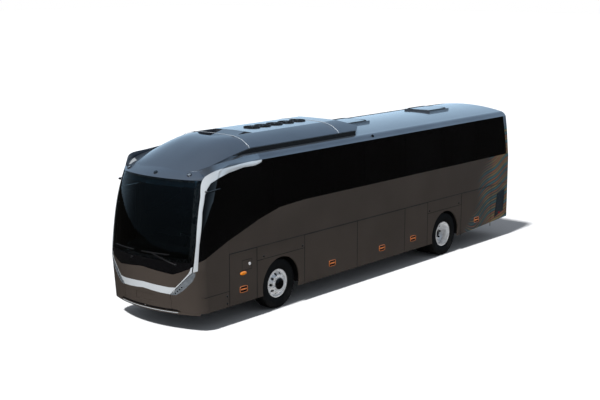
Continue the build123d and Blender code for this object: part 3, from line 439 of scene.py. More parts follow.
def lathe(profile, centre, outward, count=32, up=(0, 0, 1)):
    # a profile of (radius, height) pairs turned about the outward axis
    profile = np.array(profile, float)
    radii, heights = profile[:, :1], profile[:, 1:]
    turn = circle(count)
    level = np.broadcast_to(heights, (len(profile), count))
    points = np.dstack([radii * np.cos(turn), radii * np.sin(turn), level])
    return points @ frameOf(outward, up) + np.array(centre), False, True, True


def bar(start, end, radius, facets=8):
    # a straight round bar: two equal rings, one at each end
    start, end = np.array(start, float), np.array(end, float)
    along = end - start
    length = np.linalg.norm(along)
    up = (1, 0, 0) if abs(along[2]) > 0.9 * length else (0, 0, 1)
    return lathe([(radius, 0), (radius, length)], start, along, facets, up)


def spline(at, knots, values):
    # natural cubic spline through the knots, worked out for the whole array at once
    x, y = np.array(knots, float), np.array(values, float)
    step = np.diff(x)
    system = np.eye(len(x))
    side = np.zeros(len(x))
    for n in range(1, len(x) - 1):
        system[n, n - 1 : n + 2] = step[n - 1], 2 * (step[n - 1] + step[n]), step[n]
        side[n] = 6 * ((y[n + 1] - y[n]) / step[n] - (y[n] - y[n - 1]) / step[n - 1])
    bend = np.linalg.solve(system, side)
    n = np.clip(np.searchsorted(x, at) - 1, 0, len(x) - 2)
    a, b, h = (x[n + 1] - at), (at - x[n]), step[n]
    curve = (bend[n] * a**3 + bend[n + 1] * b**3) / (6 * h)
    line = (y[n] / h - bend[n] * h / 6) * a + (y[n + 1] / h - bend[n + 1] * h / 6) * b
    return curve + line


def onNode(start, direction, *names):
    # where a line first meets the named CAD nodes, and the surface's direction there
    best = None
    start, direction = Vector(start), Vector(direction).normalized()
    for name in names:
        hit, spot, normal, _ = nodes[name].ray_cast(start, direction)
        if hit and (best is None or (spot - start).length < (best[0] - start).length):
            best = (spot, normal)
    return np.array(best[0]), np.array(best[1])


# tyres: profile, tread blocks and places on the axles
tyre = {
    "radius": 0.52, "bead": 0.102, "half": 0.147, "front": 1.05, "twin": 0.92, "spacing": 0.335,
    "blocks": 56, "perBlock": 5, "cutFrom": 3, "grooveDepth": 0.011, "tread": 0.02, "crown": 0.006,
    "cutDepth": 0.007, "cutInner": 0.083, "cutBlend": 0.006, "cutAbove": 0.49,
    "lap": 0.012, "lining": 0.2915,
    # (offset, radius) up the side: first from the bead, then from the half width
    "atBead": [(-0.012, 0.292), (0, 0.301), (0.016, 0.318)],
    "atSide": [
        (-0.016, 0.34), (-0.012, 0.346), (-0.007, 0.362), (-0.001, 0.395), (0, 0.42),
        (-0.001, 0.432), (0, 0.438), (-0.002, 0.446), (-0.005, 0.47), (-0.009, 0.488), (-0.013, 0.5),
    ],
    # share of the tread's half width, and 1 where the groove is cut
    "across": [0.98, 0.93, 0.78, 0.7, 0.685, 0.615, 0.6, 0.34, 0.325, 0.255, 0.24],
    "deep": [0, 0, 0, 0, 1, 1, 0, 0, 1, 1, 0],
}
tyreTurn = tyre["blocks"] * tyre["perBlock"]
hubZ = tyre["radius"]


def aroundAxle(reach, radii, x, y):
    # (x + reach, y + radius * cos, axle height + radius * sin) over a full turn
    turn = circle(radii.shape[1])
    across = np.broadcast_to(reach[:, None], radii.shape) + x
    up = hubZ + radii * np.sin(turn)
    return np.dstack([across, y + radii * np.cos(turn), up]), False, True, False


def tyreGrid(x, y):
    # profile from bead to bead, turned about the axle; grooves run round at four places, and the
    # shoulders are cut across once per block
    half = tyre["half"]
    foot = np.array(tyre["atBead"]) + (tyre["bead"], 0)
    side = np.vstack([foot, np.array(tyre["atSide"]) + (half, 0)])
    across, deep = np.array(tyre["across"]), np.array(tyre["deep"])
    height = hubZ - tyre["crown"] * across**6 - tyre["grooveDepth"] * deep
    right = np.vstack([side, np.column_stack([across * (half - tyre["tread"]), height])])
    profile = np.vstack([right, (right * (-1, 1))[::-1]])
    cut = (np.arange(tyreTurn) % tyre["perBlock"] >= tyre["cutFrom"])[None, :]
    shoulder = np.clip((abs(profile[:, 0]) - tyre["cutInner"]) / tyre["cutBlend"], 0, 1)
    shoulder = shoulder * (profile[:, 1] > tyre["cutAbove"])
    radii = profile[:, 1:] - tyre["cutDepth"] * shoulder[:, None] * cut
    return aroundAxle(profile[:, 0], radii, x, y)


def wholeTyre(x, y):
    # the tyre's outside, and a lining that closes it from bead to bead
    reach = np.array([-1, 1]) * (tyre["bead"] - tyre["lap"])
    return [tyreGrid(x, y), aroundAxle(reach, np.full((2, tyreTurn), tyre["lining"]), x, y)]


frontAxleY = frontY + 2.677
rearAxleY = frontAxleY + 6.155
for side, hand in sides:
    grids = wholeTyre(hand * tyre["front"], frontAxleY)
    single = shells(f"treadedTyreFront_{side}", grids, "tyre", f"front_wheel_{side}")
    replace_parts(single, f"front_tyre_{side}")
    twins = []
    for n in (-0.5, 0.5):
        twins += wholeTyre(hand * tyre["twin"] + n * tyre["spacing"], rearAxleY)
    pair = shells(f"treadedTyresRear_{side}", twins, "tyre", f"rear_wheels_{side}")
    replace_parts(pair, f"rear_tyres_{side}")
print("tyres done")

# wheels: studs, and (radius, height) profiles of nuts and hub caps
wheel = {
    "studs": 10, "studCircle": 0.1675, "frontFace": 1.2, "rearFace": 0.92, "capFacets": 48,
    "nutParts": (
        ([(0.021, -0.002), (0.021, 0.004), (0.018, 0.006)], 20),
        ([(0.0155, 0.004), (0.0155, 0.022), (0.0125, 0.025)], 6),
        ([(0.009, 0.02), (0.009, 0.034), (0.007, 0.036)], 12),
    ),
    "frontCap": [
        (0.118, -0.002), (0.118, 0.024), (0.112, 0.032), (0.088, 0.034), (0.084, 0.04),
        (0.03, 0.042), (0.004, 0.042),
    ],
    "rearCap": [
        (0.112, -0.002), (0.112, 0.018), (0.098, 0.026), (0.098, 0.118), (0.088, 0.13),
        (0.03, 0.134), (0.004, 0.134),
    ],
}


def nuts(faceX, y, hand):
    # hexagonal nuts with a flange and a stud's end, evenly round the stud circle
    grids = []
    for n in range(wheel["studs"]):
        turn = 2 * math.pi * (n + 0.5) / wheel["studs"]
        across, up = wheel["studCircle"] * math.cos(turn), wheel["studCircle"] * math.sin(turn)
        centre = (hand * faceX, y + across, hubZ + up)
        for profile, facets in wheel["nutParts"]:
            grids.append(lathe(profile, centre, (hand, 0, 0), facets))
    return grids


for side, hand in sides:
    for end, y, body in (("front", frontAxleY, "front_wheel"), ("rear", rearAxleY, "rear_wheels")):
        face, body = wheel[f"{end}Face"], f"{body}_{side}"
        shells(f"{end}Nuts_{side}", nuts(face, y, hand), "wheel_aluminium", body)
        middle = (hand * face, y, hubZ)
        cap = lathe(wheel[f"{end}Cap"], middle, (hand, 0, 0), wheel["capFacets"])
        shells(f"{end}HubCap_{side}", [cap], "gloss_black", body)
print("wheels done")

# arch liners: radius and inner wall at each axle, how far out and down they reach
liner = {
    "front": (frontAxleY, 0.7, 0.5), "rear": (rearAxleY, 0.62, 0.56), "outer": 1.238,
    "foot": 0.42, "core": 0.02, "coreHeight": 0.74,
}


def linerGrid(y, radius, innerX, hand):
    # half a barrel over the wheel, with straight legs, and an inner wall from its rim to its middle
    turn = np.linspace(0, np.pi, 40)
    arc = np.column_stack([y + radius * np.cos(turn), hubZ + radius * np.sin(turn)])
    arc = np.vstack([(y + radius, liner["foot"]), arc, (y - radius, liner["foot"])])
    level = np.full(len(arc), hand)
    reach = np.linspace(liner["outer"], innerX, 4)
    barrel = np.array([np.column_stack([level * x, arc]) for x in reach])
    across, up = y + (arc[:, 0] - y) * liner["core"], arc[:, 1] * liner["core"]
    middle = np.column_stack([across, liner["coreHeight"] + np.maximum(up, 0)])
    rings = [arc, (arc + middle) / 2, middle]
    wall = np.array([np.column_stack([level * innerX, ring]) for ring in rings])
    return [(barrel, False, False, False), (wall, False, False, False)]


# flap handles: an orange ring with a bar, and two dark pockets; (y, z) of each
handle = {
    "ring": (0.108, 0.062, 0.0055, 6.0), "bar": (0.085, 0.014, 0.006, 4.0),
    "pocket": (0.088, 0.018, 0.0012, 6.0, 0.0005), "pocketStep": 0.034,
    "places": {
        "locker": (-4.397, 0.654), "luggage_front": (-1.56, 0.645), "luggage_rear": (0.272, 0.65),
        "service": (1.52, 0.657), "engine": (4.354, 0.654),
    },
}
# side markers: (size, height) steps of the domed lens
marker = {
    "place": (-4.405, 0.98), "oval": (0.092, 0.036, 2.2, 40),
    "steps": [(1.0, -0.004), (1.0, 0.004), (0.94, 0.01), (0.8, 0.014), (0.5, 0.018), (0.05, 0.019)],
}
# locks: (radius, height) profiles and (y, z) places
lock = {
    "filler": [
        (0.03, -0.003), (0.03, 0.008), (0.026, 0.012), (0.018, 0.012), (0.016, 0.006), (0.002, 0.006),
    ],
    "fillerPlace": (-4.219, 1.14),
    "panel": [
        (0.02, -0.003), (0.02, 0.003), (0.017, 0.005), (0.009, 0.005), (0.008, 0.002), (0.001, 0.002),
    ],
    "panelPlaces": (
        (-3.793, 1.205), (-2.566, 1.205), (2.198, 1.205), (3.5, 1.205), (-4.876, 0.605),
        (-4.876, 0.455), (5.06, 0.6), (5.775, 0.6),
    ),
}


def markerLens(hand):
    # the oval scaled and lifted step by step
    ring = loop(*marker["oval"])
    rows = [np.column_stack([ring * size, np.full(len(ring), lift)]) for size, lift in marker["steps"]]
    centre = np.array((hand * sideX, *marker["place"]))
    return np.array(rows) @ frameOf((hand, 0, 0)) + centre, False, True, True


for side, hand in sides:
    both = linerGrid(*liner["front"], hand) + linerGrid(*liner["rear"], hand)
    shells(f"archLiners_{side}", both, "black_plastic")
    out = (hand, 0, 0)
    for place, (y, z) in handle["places"].items():
        body = f"flap_{place}_{side}"
        centre = (hand * sideX, y, z)
        grip = [ringTube(centre, out, *handle["ring"]), plate(centre, out, *handle["bar"])]
        shells(f"handleRing_{place}_{side}", grip, "black_plastic", body, orangePlastic)
        steps = (-handle["pocketStep"], handle["pocketStep"])
        pockets = [plate((hand * sideX, y, z + step), out, *handle["pocket"]) for step in steps]
        shells(f"handlePocket_{place}_{side}", pockets, "gloss_black", body)
    locker = f"flap_locker_{side}"
    shells(f"sideMarker_{side}", [markerLens(hand)], "red_lens", locker, amberLens)
    if side == "left":
        filler = lathe(lock["filler"], (hand * sideX, *lock["fillerPlace"]), out, 28)
        shells("fillerLock", [filler], "wheel_aluminium", locker)
    locks = [lathe(lock["panel"], (hand * sideX, *spot), out, 20) for spot in lock["panelPlaces"]]
    shells(f"panelLocks_{side}", locks, "gloss_black")
print("liners and handles done")

# rear quarter grilles: (y, z) corners from the foot up, the slat's section, and a reflector below
grille = {
    "corners": ((5.225, 0.56), (5.68, 0.7), (5.34, 1.17), (5.75, 1.28)),
    "slats": 22, "stations": 6, "x": 1.2635, "endGap": (0.008, 0.004),
    "section": [(-0.004, 0.013), (0.000, 0.014), (0.007, -0.01), (0.004, -0.013)],
    "reflector": (1.268, 5.48, 0.668), "reflectorSize": (0.045, 0.014, 0.006, 3.0),
}


def grilleSlat(share, hand):
    # a slat from the front edge to the back edge of the opening, tilted outwards at its foot
    foot, footBack, head, headBack = np.array(grille["corners"])
    gap = np.array(grille["endGap"])
    start = foot + (head - foot) * share + gap
    end = footBack + (headBack - footBack) * share + gap * (-1, 1)
    across, up = np.array(grille["section"]).T
    rows = []
    for y, z in np.linspace(start, end, grille["stations"]):
        rows.append(np.column_stack([hand * (grille["x"] + across), np.full(len(up), y), z + up]))
    return np.array(rows), False, True, True


for side, hand in sides:
    slats = [grilleSlat((n + 0.5) / grille["slats"], hand) for n in range(grille["slats"])]
    shells(f"grilleSlats_{side}", slats, "black_plastic")
    x, y, z = grille["reflector"]
    reflector = plate((hand * x, y, z), (hand, 0, 0), *grille["reflectorSize"])
    shells(f"quarterReflector_{side}", [reflector], "red_lens")

# dome over the windscreen: (places along y, values there) of its half width, foot, top and power
dome = {
    "front": -5.37, "rear": -3.885, "crest": 0.2, "crestHalf": 0.36,
    "half": ((-5.37, -5.25, -5.1, -4.88, -4.6, -4.2, -3.8), (0.52, 0.76, 0.9, 0.965, 1.0, 1.0, 0.98)),
    "low": ((-5.37, -5.2, -5.0, -4.6, -4.2, -3.8), (3.035, 3.085, 3.14, 3.255, 3.335, 3.39)),
    "top": ((-5.37, -5.0, -4.6, -4.2, -3.88, -3.8), (3.052, 3.255, 3.435, 3.558, 3.602, 3.606)),
    "power": ((-5.37, -4.6, -3.8), (2.6, 2.9, 3.8)),
    "sideDrop": (0, 0, 0.14), "frontDrop": (0, 0.02, -0.12), "lip": (0, 0.004, -0.006),
    "behind": (0, 0.006, 0), "recessFloor": 3.4,
}


def domeSurface():
    # height = side + (top - side) * (1 - (x / half width) ^ power), all four along smooth splines;
    # the rear edge bows forward in the middle, where it turns down into the recess
    s = np.linspace(0, 1, 60)[:, None]
    across = np.sin(np.linspace(-np.pi / 2, np.pi / 2, 81))[None, :]
    rearY = dome["rear"] - dome["crest"] * np.exp(-((across / dome["crestHalf"]) ** 4))
    y = dome["front"] + (rearY - dome["front"]) * s
    half, low, top, power = [spline(y, *dome[key]) for key in ("half", "low", "top", "power")]
    z = low + (top - low) * (1 - abs(across) ** power)
    shell = np.dstack([across * half, y, z])
    left, right = shell[:, :1] - dome["sideDrop"], shell[:, -1:] - dome["sideDrop"]
    shell = np.concatenate([left, shell, right], axis=1)
    lip, drop = shell[-1:] + dome["lip"], shell[-1:] + dome["behind"]
    drop[..., 2] = np.minimum(drop[..., 2], dome["recessFloor"])
    rows = [shell[:1] + dome["frontDrop"], shell, lip, drop]
    return np.concatenate(rows), False, False, False


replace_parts(shells("smoothDome", [domeSurface()], "coach_paint"), "front_dome")

# on the roof: beads, (x, y, radius) of two lamps with a camera between, side cameras, hatch rims
roof = {
    "seam": 0.004, "seamFacets": 6, "seamPlaces": (-3.878, -0.985),
    "housing": [
        (0.984, 3.3), (0.984, 3.386), (0.955, 3.425), (0.8, 3.525), (0.66, 3.57),
        (0.53, 3.592), (0.3, 3.601), (0.0, 3.6035),
    ],
    "lamps": ((-0.9, -5.36, 0.052), (0.0, -5.5, 0.046), (0.775, -5.36, 0.052)),
    "lampDepth": 0.018, "sideEye": (-0.01, 3.233), "sideEyeSize": (0.034, 0.03),
    "sideEyeLens": (0.022, 0.022, 0.034, 2.0), "above": 4.0, "hatches": (6.455, 9.825),
    "hatchRim": (0.345, 0.395, 0.01, 9.0, 64, 6, (0, 1, 0)), "hatchRimSunk": (0, 0, -0.008),
    # shares of the radius and of the depth
    "ringFoot": -0.02, "ring": [(1, 0.4), (0.93, 0.8), (0.8, 1), (0.75, 0.6), (0.7, 0.5)],
    "lens": [(0.7, 0.3), (0.68, 0.7), (0.45, 1.0)], "lensTip": (0.02, 1.1),
}


def housingSeam(y):
    # a thin bead over the housing from side to side
    half = np.array(roof["housing"])
    line = np.vstack([half, (half * (-1, 1))[-2::-1]])
    turn = circle(roof["seamFacets"])
    flat, up = roof["seam"] * np.cos(turn), roof["seam"] * np.sin(turn)
    rows = [np.column_stack([np.full(len(turn), x), y + flat, z + up]) for x, z in line]
    return np.array(rows), False, True, True


def lampAt(point, outward, radius, depth):
    # a round lamp: its ring and its domed lens
    ring = [(radius, roof["ringFoot"])] + [(radius * r, depth * h) for r, h in roof["ring"]]
    tip = (roof["lensTip"][0], roof["lensTip"][1] * depth)
    lens = [(radius * r, depth * h) for r, h in roof["lens"]] + [tip]
    return lathe(ring, point, outward), lathe(lens, point, outward)


def roofLamp(x, y, radius):
    # a lamp on the roof's skin, found straight below
    spot, outward = onNode((x, y, roof["above"]), (0, 0, -1), "roof_shell")
    return lampAt(spot, outward, radius, roof["lampDepth"])


shells("housingSeams", [housingSeam(y) for y in roof["seamPlaces"]], "silver_paint")
left, eye, right = [roofLamp(*place) for place in roof["lamps"]]
shells("frontMarkerRings", [left[0], *eye, right[0]], "gloss_black")
shells("frontMarkerLenses", [left[1], right[1]], "clear_lens")
eyes = []
for side, hand in sides:
    spot, outward = onNode((hand * 2, *roof["sideEye"]), (-hand, 0, 0), "roof_shell")
    eyes.append(lampAt(spot, outward, *roof["sideEyeSize"])[0])
    eyes.append(plate(spot, outward, *roof["sideEyeLens"]))
shells("sideCameras", eyes, "gloss_black")
for place, back in zip(("front", "rear"), roof["hatches"]):
    hatch = f"roof_hatch_{place}"
    spot, outward = onNode((0, frontY + back, roof["above"]), (0, 0, -1), hatch)
    rim = ringTube(spot + roof["hatchRimSunk"], outward, *roof["hatchRim"])
    shells(f"hatchRim_{place}", [rim], "black_plastic", hatch)
print("roof done")

# the front: heights, how far back the nose lies there, and what is set on it
nose = {
    "levels": (1.25, 1.8, 2.4, 2.935, 3.5), "backs": (0.0, 0.07, 0.181, 0.31, 0.478),
    "radius": 2.7, "chin": 0.08 / 0.87, "sunk": 0.004, "crown": 1.25, "stations": 24,
    "lip": (0.78, 0.374, 0.006, 0.004),
    "discs": ((0.755, 0.765), (0.802, 0.809), (0.849, 0.852), (0.896, 0.896)),
    "disc": (0.015, 0.015, 0.004, 2.0), "discSunk": 0.004, "discTilt": -0.09,
    "pivots": ((0.8, 1.333), (-0.3, 1.345)),
    "pivot": [(0.026, -0.02), (0.026, 0.012), (0.02, 0.02), (0.003, 0.022)],
}
shade = {"low": 2.795, "high": 2.93, "behind": 0.02, "half": 1.02}
fin = {
    "from": (0.945, 0.925), "run": (0.205, 0.235), "count": 9, "lean": (-0.052, 0.045), "size": 0.0012,
}


def noseY(x, z):
    # the front's outer surface in its middle: a bow of one radius set back by a spline over z
    below = (nose["levels"][0] - z) * nose["chin"]
    back = np.where(z < nose["levels"][0], below, spline(z, nose["levels"], nose["backs"]))
    return frontY + back + nose["radius"] - np.sqrt(nose["radius"] ** 2 - x**2)


def noseStrip(start, end, halfX, proud):
    # a strip between two (x, z) points that stands proud of the nose, with its own thickness
    s = np.linspace(0, 1, nose["stations"])[:, None]
    start, run = np.array(start), np.array(end) - np.array(start)
    line = start + run * s
    square = np.array((-run[1], run[0])) / np.linalg.norm(run)
    rows, foot = [], -nose["sunk"]
    for side, height in ((-1, foot), (-1, proud), (0, proud * nose["crown"]), (1, proud), (1, foot)):
        x, z = (line + square * side * halfX).T
        rows.append(np.column_stack([x, noseY(x, z) - height, z]))
    return np.stack(rows, axis=1), False, True, True


reach, z, half, proud = nose["lip"]
shells("bumperLip", [noseStrip((-reach, z), (reach, z), half, proud)], "silver_paint")
# a band behind the top of the windscreen: a tinted strip whose pale blue is partly painted sky
# reflection
x = np.linspace(-shade["half"], shade["half"], 41)
rows = []
for z in np.linspace(shade["low"], shade["high"], 6):
    level = np.full(len(x), z)
    rows.append(np.column_stack([x, noseY(x, level) + shade["behind"], level]))
film = (np.array(rows), False, False, False)
shells("sunShadeAndSkyReflection", [film], "screen_glass", finish=tintAndSkyReflectionFilm)
lampFins, lensDiscs = [], []
for side, hand in sides:
    for n in range(fin["count"]):
        low = np.array(fin["from"]) + np.array(fin["run"]) * n / fin["count"]
        high = low + fin["lean"]
        lampFins.append(noseStrip(low * (hand, 1), high * (hand, 1), fin["size"], fin["size"]))
    for x, z in nose["discs"]:
        centre = (hand * x, noseY(x, z) + nose["discSunk"], z)
        facing = (hand * x / nose["radius"], -1, nose["discTilt"])
        lensDiscs.append(plate(centre, facing, *nose["disc"]))
shells("lampFins", lampFins, "clear_lens")
shells("lampLenses", lensDiscs, "gloss_black")
pivots = [lathe(nose["pivot"], (x, noseY(x, z), z), (0, -1, 0), 24) for x, z in nose["pivots"]]
shells("wiperPivots", pivots, "black_plastic")
doorPull = plate((-sideX, -4.9, 1.05), (-1, 0, 0), 0.045, 0.085, 0.01, 4.0)
shells("doorPull", [doorPull], "black_plastic", "passenger_door")
print("front done")

# seats: rows and places, then one seat's sizes, measured from its foot
seat = {
    "pitch": 0.8, "rows": 11, "first": 2.1, "floor": 1.48, "x": 0.725, "apart": 0.225,
    "size": (0.45, 1.08), "driver": (0.64, frontY + 1.0, 1.01, 0.5, 1.15), "inset": 0.012,
    "rings": 15, "columns": 28, "pull": 0.045, "lean": -9.6, "crown": 0.018,
    "cushion": (0.385, 0.205, 0.062), "back": (0.44, 0.255, 0.17, 0.048),
    "pad": (0.14, 0.3, 0.72, 0.05, 0.1), "leg": (0.3, 0.04, 0.33, 0.022),
    "tray": (0.03, 0.318), "traySize": (0.44, 0.19, 0.012, 6.0),
    "driverStand": [(0.17, 0), (0.17, 0.03), (0.07, 0.06), (0.07, 0.33)],
}


def cushion(centre, half, crown, lean=0.0, power=0.42):
    # superellipsoid with a crowned top; its sides pull in between the corners
    u = np.linspace(-np.pi / 2, np.pi / 2, seat["rings"])[:, None]
    v = np.linspace(-np.pi, np.pi, seat["columns"], endpoint=False)[None, :]
    level = raised(np.cos(u), power)
    x, y = level * raised(np.cos(v), power), level * raised(np.sin(v), power)
    z = raised(np.sin(u), power) * np.ones_like(v)
    up = half[2] * z + crown * np.clip(z, 0, 1) * (1 - x**2) * (1 - y**2)
    across = half[0] * x * (1 - seat["pull"] * (1 - y**2))
    points = np.dstack([across, half[1] * y * (1 - seat["pull"] * (1 - x**2)), up])
    c, s = math.cos(math.radians(lean)), math.sin(math.radians(lean))
    turned = points @ np.array([[1, 0, 0], [0, c, s], [0, -s, c]])
    return turned + np.array(centre), False, True, True


bases, backs, stands = [], [], []


def oneSeat(x, y, z, width, height):
    # cushion, leaning back and head pad; x is the seat's middle
    half = width / 2 - seat["inset"]
    lift, deep, high = seat["cushion"]
    bases.append(cushion((x, y, z + lift), (half, deep, high), seat["crown"]))
    foot, behind, slope, deep = seat["back"]
    tall = (height - foot) / 2
    middle = (x, y + behind + slope * tall, z + foot + tall)
    backs.append(cushion(middle, (half, deep, tall), 0.0, seat["lean"], 0.36))
    drop, slope, share, deep, high = seat["pad"]
    pad = (x, y + behind + slope * tall, z + height - drop)
    backs.append(cushion(pad, (half * share, deep, high), 0.0, seat["lean"], 0.5))


floor = seat["floor"]
legX, legY, legTop, legRadius = seat["leg"]
for row in range(seat["rows"]):
    y = frontY + seat["first"] + row * seat["pitch"]
    for hand in (1, -1):
        middle = hand * seat["x"]
        for x in (middle - seat["apart"], middle + seat["apart"]):
            oneSeat(x, y, floor, *seat["size"])
        for x in (middle - legX, middle + legX):
            stands.append(bar((x, y + legY, floor), (x, y + legY, floor + legTop), legRadius))
        under = (middle, y + seat["tray"][0], floor + seat["tray"][1])
        stands.append(plate(under, (0, 0, 1), *seat["traySize"], up=(0, 1, 0)))
oneSeat(*seat["driver"])
x, y, z = seat["driver"][:3]
stands.append(lathe(seat["driverStand"], (x, y + legY, z), (0, 0, 1), 28))
seatBases = shells("seatCushions", bases, "seat_fabric")
seatBacks = shells("seatBacks", backs, "seat_fabric")
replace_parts(seatBases, "seats")
shells("seatStands", stands, "frame_steel")
print("seats done")

# the back: (x, z, half width, half height, depth, power, edge) of what lies flat on it
back = {
    "y": 5.9213, "bow": 45.0, "field": (0.46, 1.28, 0.36, 0.2, 0.0006, 9.0, 0.0003),
    "louvres": 11, "louvrePitch": 0.034, "louvre": (0.345, 0.008, 0.0034, 9.0),
    "plate": (0, 1.62, 0.26, 0.056, 0.003, 12.0), "reflector": (0.62, 0.66, 0.16, 0.03, 0.003, 4.0),
    "pullZ": 0.985, "pull": (0.075, 0.018, 0.0034, 6.0), "lamps": (1.14, 1.29, 1.44, 1.6),
    "lampX": 1.1, "lampY": 5.902, "lampRing": (0.055, 0.055, 0.004, 2.0, 40, 8),
}


def backPlate(x, z, halfX, halfY, depth, power=5.0, edge=0.001):
    # a flat button on the rear wall, which bows forward by x squared / (2 * its radius)
    y = back["y"] - x**2 / (2 * back["bow"])
    return plate((x, y, z), (0, 1, 0), halfX, halfY, depth, power, edge)


def mirrored(x, *sizes):
    # the same button on the left and on the right
    return [backPlate(hand * x, *sizes) for side, hand in sides]


shells("louvreFields", mirrored(*back["field"]), "gloss_black", "engine_lid")
x, z = back["field"][:2]
steps = [back["louvrePitch"] * (n - (back["louvres"] - 1) / 2) for n in range(back["louvres"])]
louvres = [backPlate(hand * x, z + step, *back["louvre"]) for side, hand in sides for step in steps]
shells("louvres", louvres, "black_plastic", "engine_lid")
shells("rearPlate", [backPlate(*back["plate"])], "silver_paint", "engine_lid")
lidPull = ringTube((0, back["y"], back["pullZ"]), (0, 1, 0), *back["pull"])
shells("lidPull", [lidPull], "gloss_black", "engine_lid")
lampRings = []
for side, hand in sides:
    for z in back["lamps"]:
        centre = (hand * back["lampX"], back["lampY"], z)
        lampRings.append(ringTube(centre, (0, 1, 0), *back["lampRing"]))
shells("tailLampRings", lampRings, "silver_paint")
shells("rearReflectors", mirrored(*back["reflector"]), "red_lens")
print("back done")

# white sweep: x, distance back from the front and height of its two edges, foot to tip
sweep = {
    "lift": 0.0035, "bulge": 0.004, "sink": 0.006, "count": 90,
    "inner": [
        (1.137, 0.258, 1.218), (1.145, 0.268, 1.329), (1.158, 0.327, 1.736), (1.14, 0.417, 2.286),
        (1.123, 0.502, 2.623), (1.088, 0.594, 2.931), (1.098, 0.624, 2.975), (1.134, 0.7, 3.035),
        (1.19, 0.82, 3.09), (1.222, 1.19, 3.137), (1.223, 1.611, 3.159), (1.215, 2.119, 3.172),
    ],
    "outer": [
        (1.205, 0.313, 1.24), (1.206, 0.331, 1.401), (1.203, 0.369, 1.735), (1.189, 0.477, 2.353),
        (1.173, 0.569, 2.662), (1.18, 0.624, 2.768), (1.197, 0.708, 2.878), (1.236, 0.864, 2.954),
        (1.235, 1.178, 3.026), (1.232, 1.601, 3.079), (1.23, 2.034, 3.094), (1.226, 2.136, 3.125),
    ],
}
# the roof's margin above it: from which share of the length, width, lap under the sweep
margin = {"from": 0.535, "cover": 0.125, "inward": 0.026, "lap": 0.1, "lift": 0.0015, "bulge": 0.003}


def splineThrough(points, count):
    # a smooth curve through the points by distance along it, set back from the front
    points = np.array(points)
    reach = np.concatenate([[0], np.cumsum(np.linalg.norm(np.diff(points, axis=0), axis=1))])
    at = np.linspace(0, reach[-1], count)
    return np.column_stack([spline(at, reach, line) for line in points.T]) + (0, frontY, 0)


def sweepBand(near, away, hand, lift, bulge):
    # a shallow arch from edge to edge, standing off the body, its rims sunk
    cross = away - near
    normal = np.cross(cross, np.gradient(near, axis=0))
    normal *= np.sign(normal[:, :1] + 1e-9) / np.linalg.norm(normal, axis=1, keepdims=True)
    rows = [near - normal * sweep["sink"]]
    for s in (0, 0.25, 0.5, 0.75, 1):
        rows.append(near + cross * s + normal * (lift + 4 * bulge * s * (1 - s)))
    rows.append(away - normal * sweep["sink"])
    return np.stack(rows, axis=1) * (hand, 1, 1), False, True, True


inner, outer = [splineThrough(sweep[edge], sweep["count"]) for edge in ("inner", "outer")]
bands = [sweepBand(inner, outer, hand, sweep["lift"], sweep["bulge"]) for side, hand in sides]
shells("sweepBands", bands, "silver_paint")
top = np.arange(sweep["count"]) > margin["from"] * sweep["count"]
inner, outer = inner[top], outer[top]
away = (inner - outer) / np.linalg.norm(inner - outer, axis=1, keepdims=True)
beyond = inner + away * margin["cover"] - (margin["inward"], 0, 0)
lapped = inner + (outer - inner) * margin["lap"]
covers = [sweepBand(beyond, lapped, hand, margin["lift"], margin["bulge"]) for side, hand in sides]
shells("roofMargins", covers, "coach_paint")

# camera arms: a foot on the body and a slim arm that points back
arm = {
    "place": (-5.325, 2.724), "foot": [(0.026, -0.01), (0.024, 0.04), (0.018, 0.066), (0.004, 0.068)],
    "footLean": -0.3, "offset": (0.052, 0.145, 0.014), "lean": -0.1, "rise": (0, -0.09, 1),
    "size": (0.165, 0.02, 0.026, 2.6, 0.01, 40),
}
arms = []
for side, hand in sides:
    start = (hand * 2, *arm["place"])
    spot, outward = onNode(start, (-hand, 0, 0), "body_glass", "side_stripes")
    arms.append(lathe(arm["foot"], spot, (hand, arm["footLean"], 0), 24))
    centre = spot + np.array(arm["offset"]) * (hand, 1, 1)
    arms.append(plate(centre, (hand, arm["lean"], 0), *arm["size"], up=arm["rise"]))
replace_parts(shells("cameraArms", arms, "gloss_black"), "camera_pods")

# joints of the side panels, as distances from the front
joints = {
    "door": 1.122, "locker": 1.928, "archFront": 3.426, "luggage": 5.259, "service": 7.094,
    "archRear": 8.043, "engine": 9.543, "grille": 10.969, "tail": 11.69,
}
jointY = {name: frontY + distance for name, distance in joints.items()}
# bars on the side as x and (proud, power, edge, count, sunk): black seals in the gaps, partly rubber
# seals and partly painted shade of the gaps, and black edge strips, painted shade of the seams
sealAndGapShade = {"half": 0.0036, "low": 0.3786, "high": 1.4224, "bar": (1.2701, (0.0002, 20, 0.0001, 24, 0.012))}
seamShade = {
    "half": 0.00225, "broad": 0.0055, "fuelHalf": 0.004,
    "bar": (1.2713, (0.0006, 30, 0.0002, 16, 0.002)),
    "gap": 0.004, "low": 0.372, "hinge": 1.431, "arch": 1.152, "lowPanel": (-5.5, 0.694),
    "flapFoot": 0.004, "archFoot": 0.03, "tailGap": 0.02, "fuelY": (1.487, 1.771),
    "fuelZ": (1.031, 1.235), "arches": (("locker", "archFront"), ("archRear", "engine")),
    "flaps": {
        "locker": ("door", "locker"), "luggage_front": ("archFront", "luggage"),
        "luggage_rear": ("luggage", "service"), "service": ("service", "archRear"),
        "engine": ("engine", "grille"),
    },
}


def sideBars(hand, bar, lines):
    # thin flat bars on the side, each from one (y, z) point to another, level or upright
    x, shape = bar
    bars = []
    for start, end, half in lines:
        y, z = (np.array(start) + np.array(end)) / 2
        size = abs(np.array(end) - np.array(start)) / 2 + half
        bars.append(plate((hand * x, y, z), (hand, 0, 0), *size, *shape))
    return bars


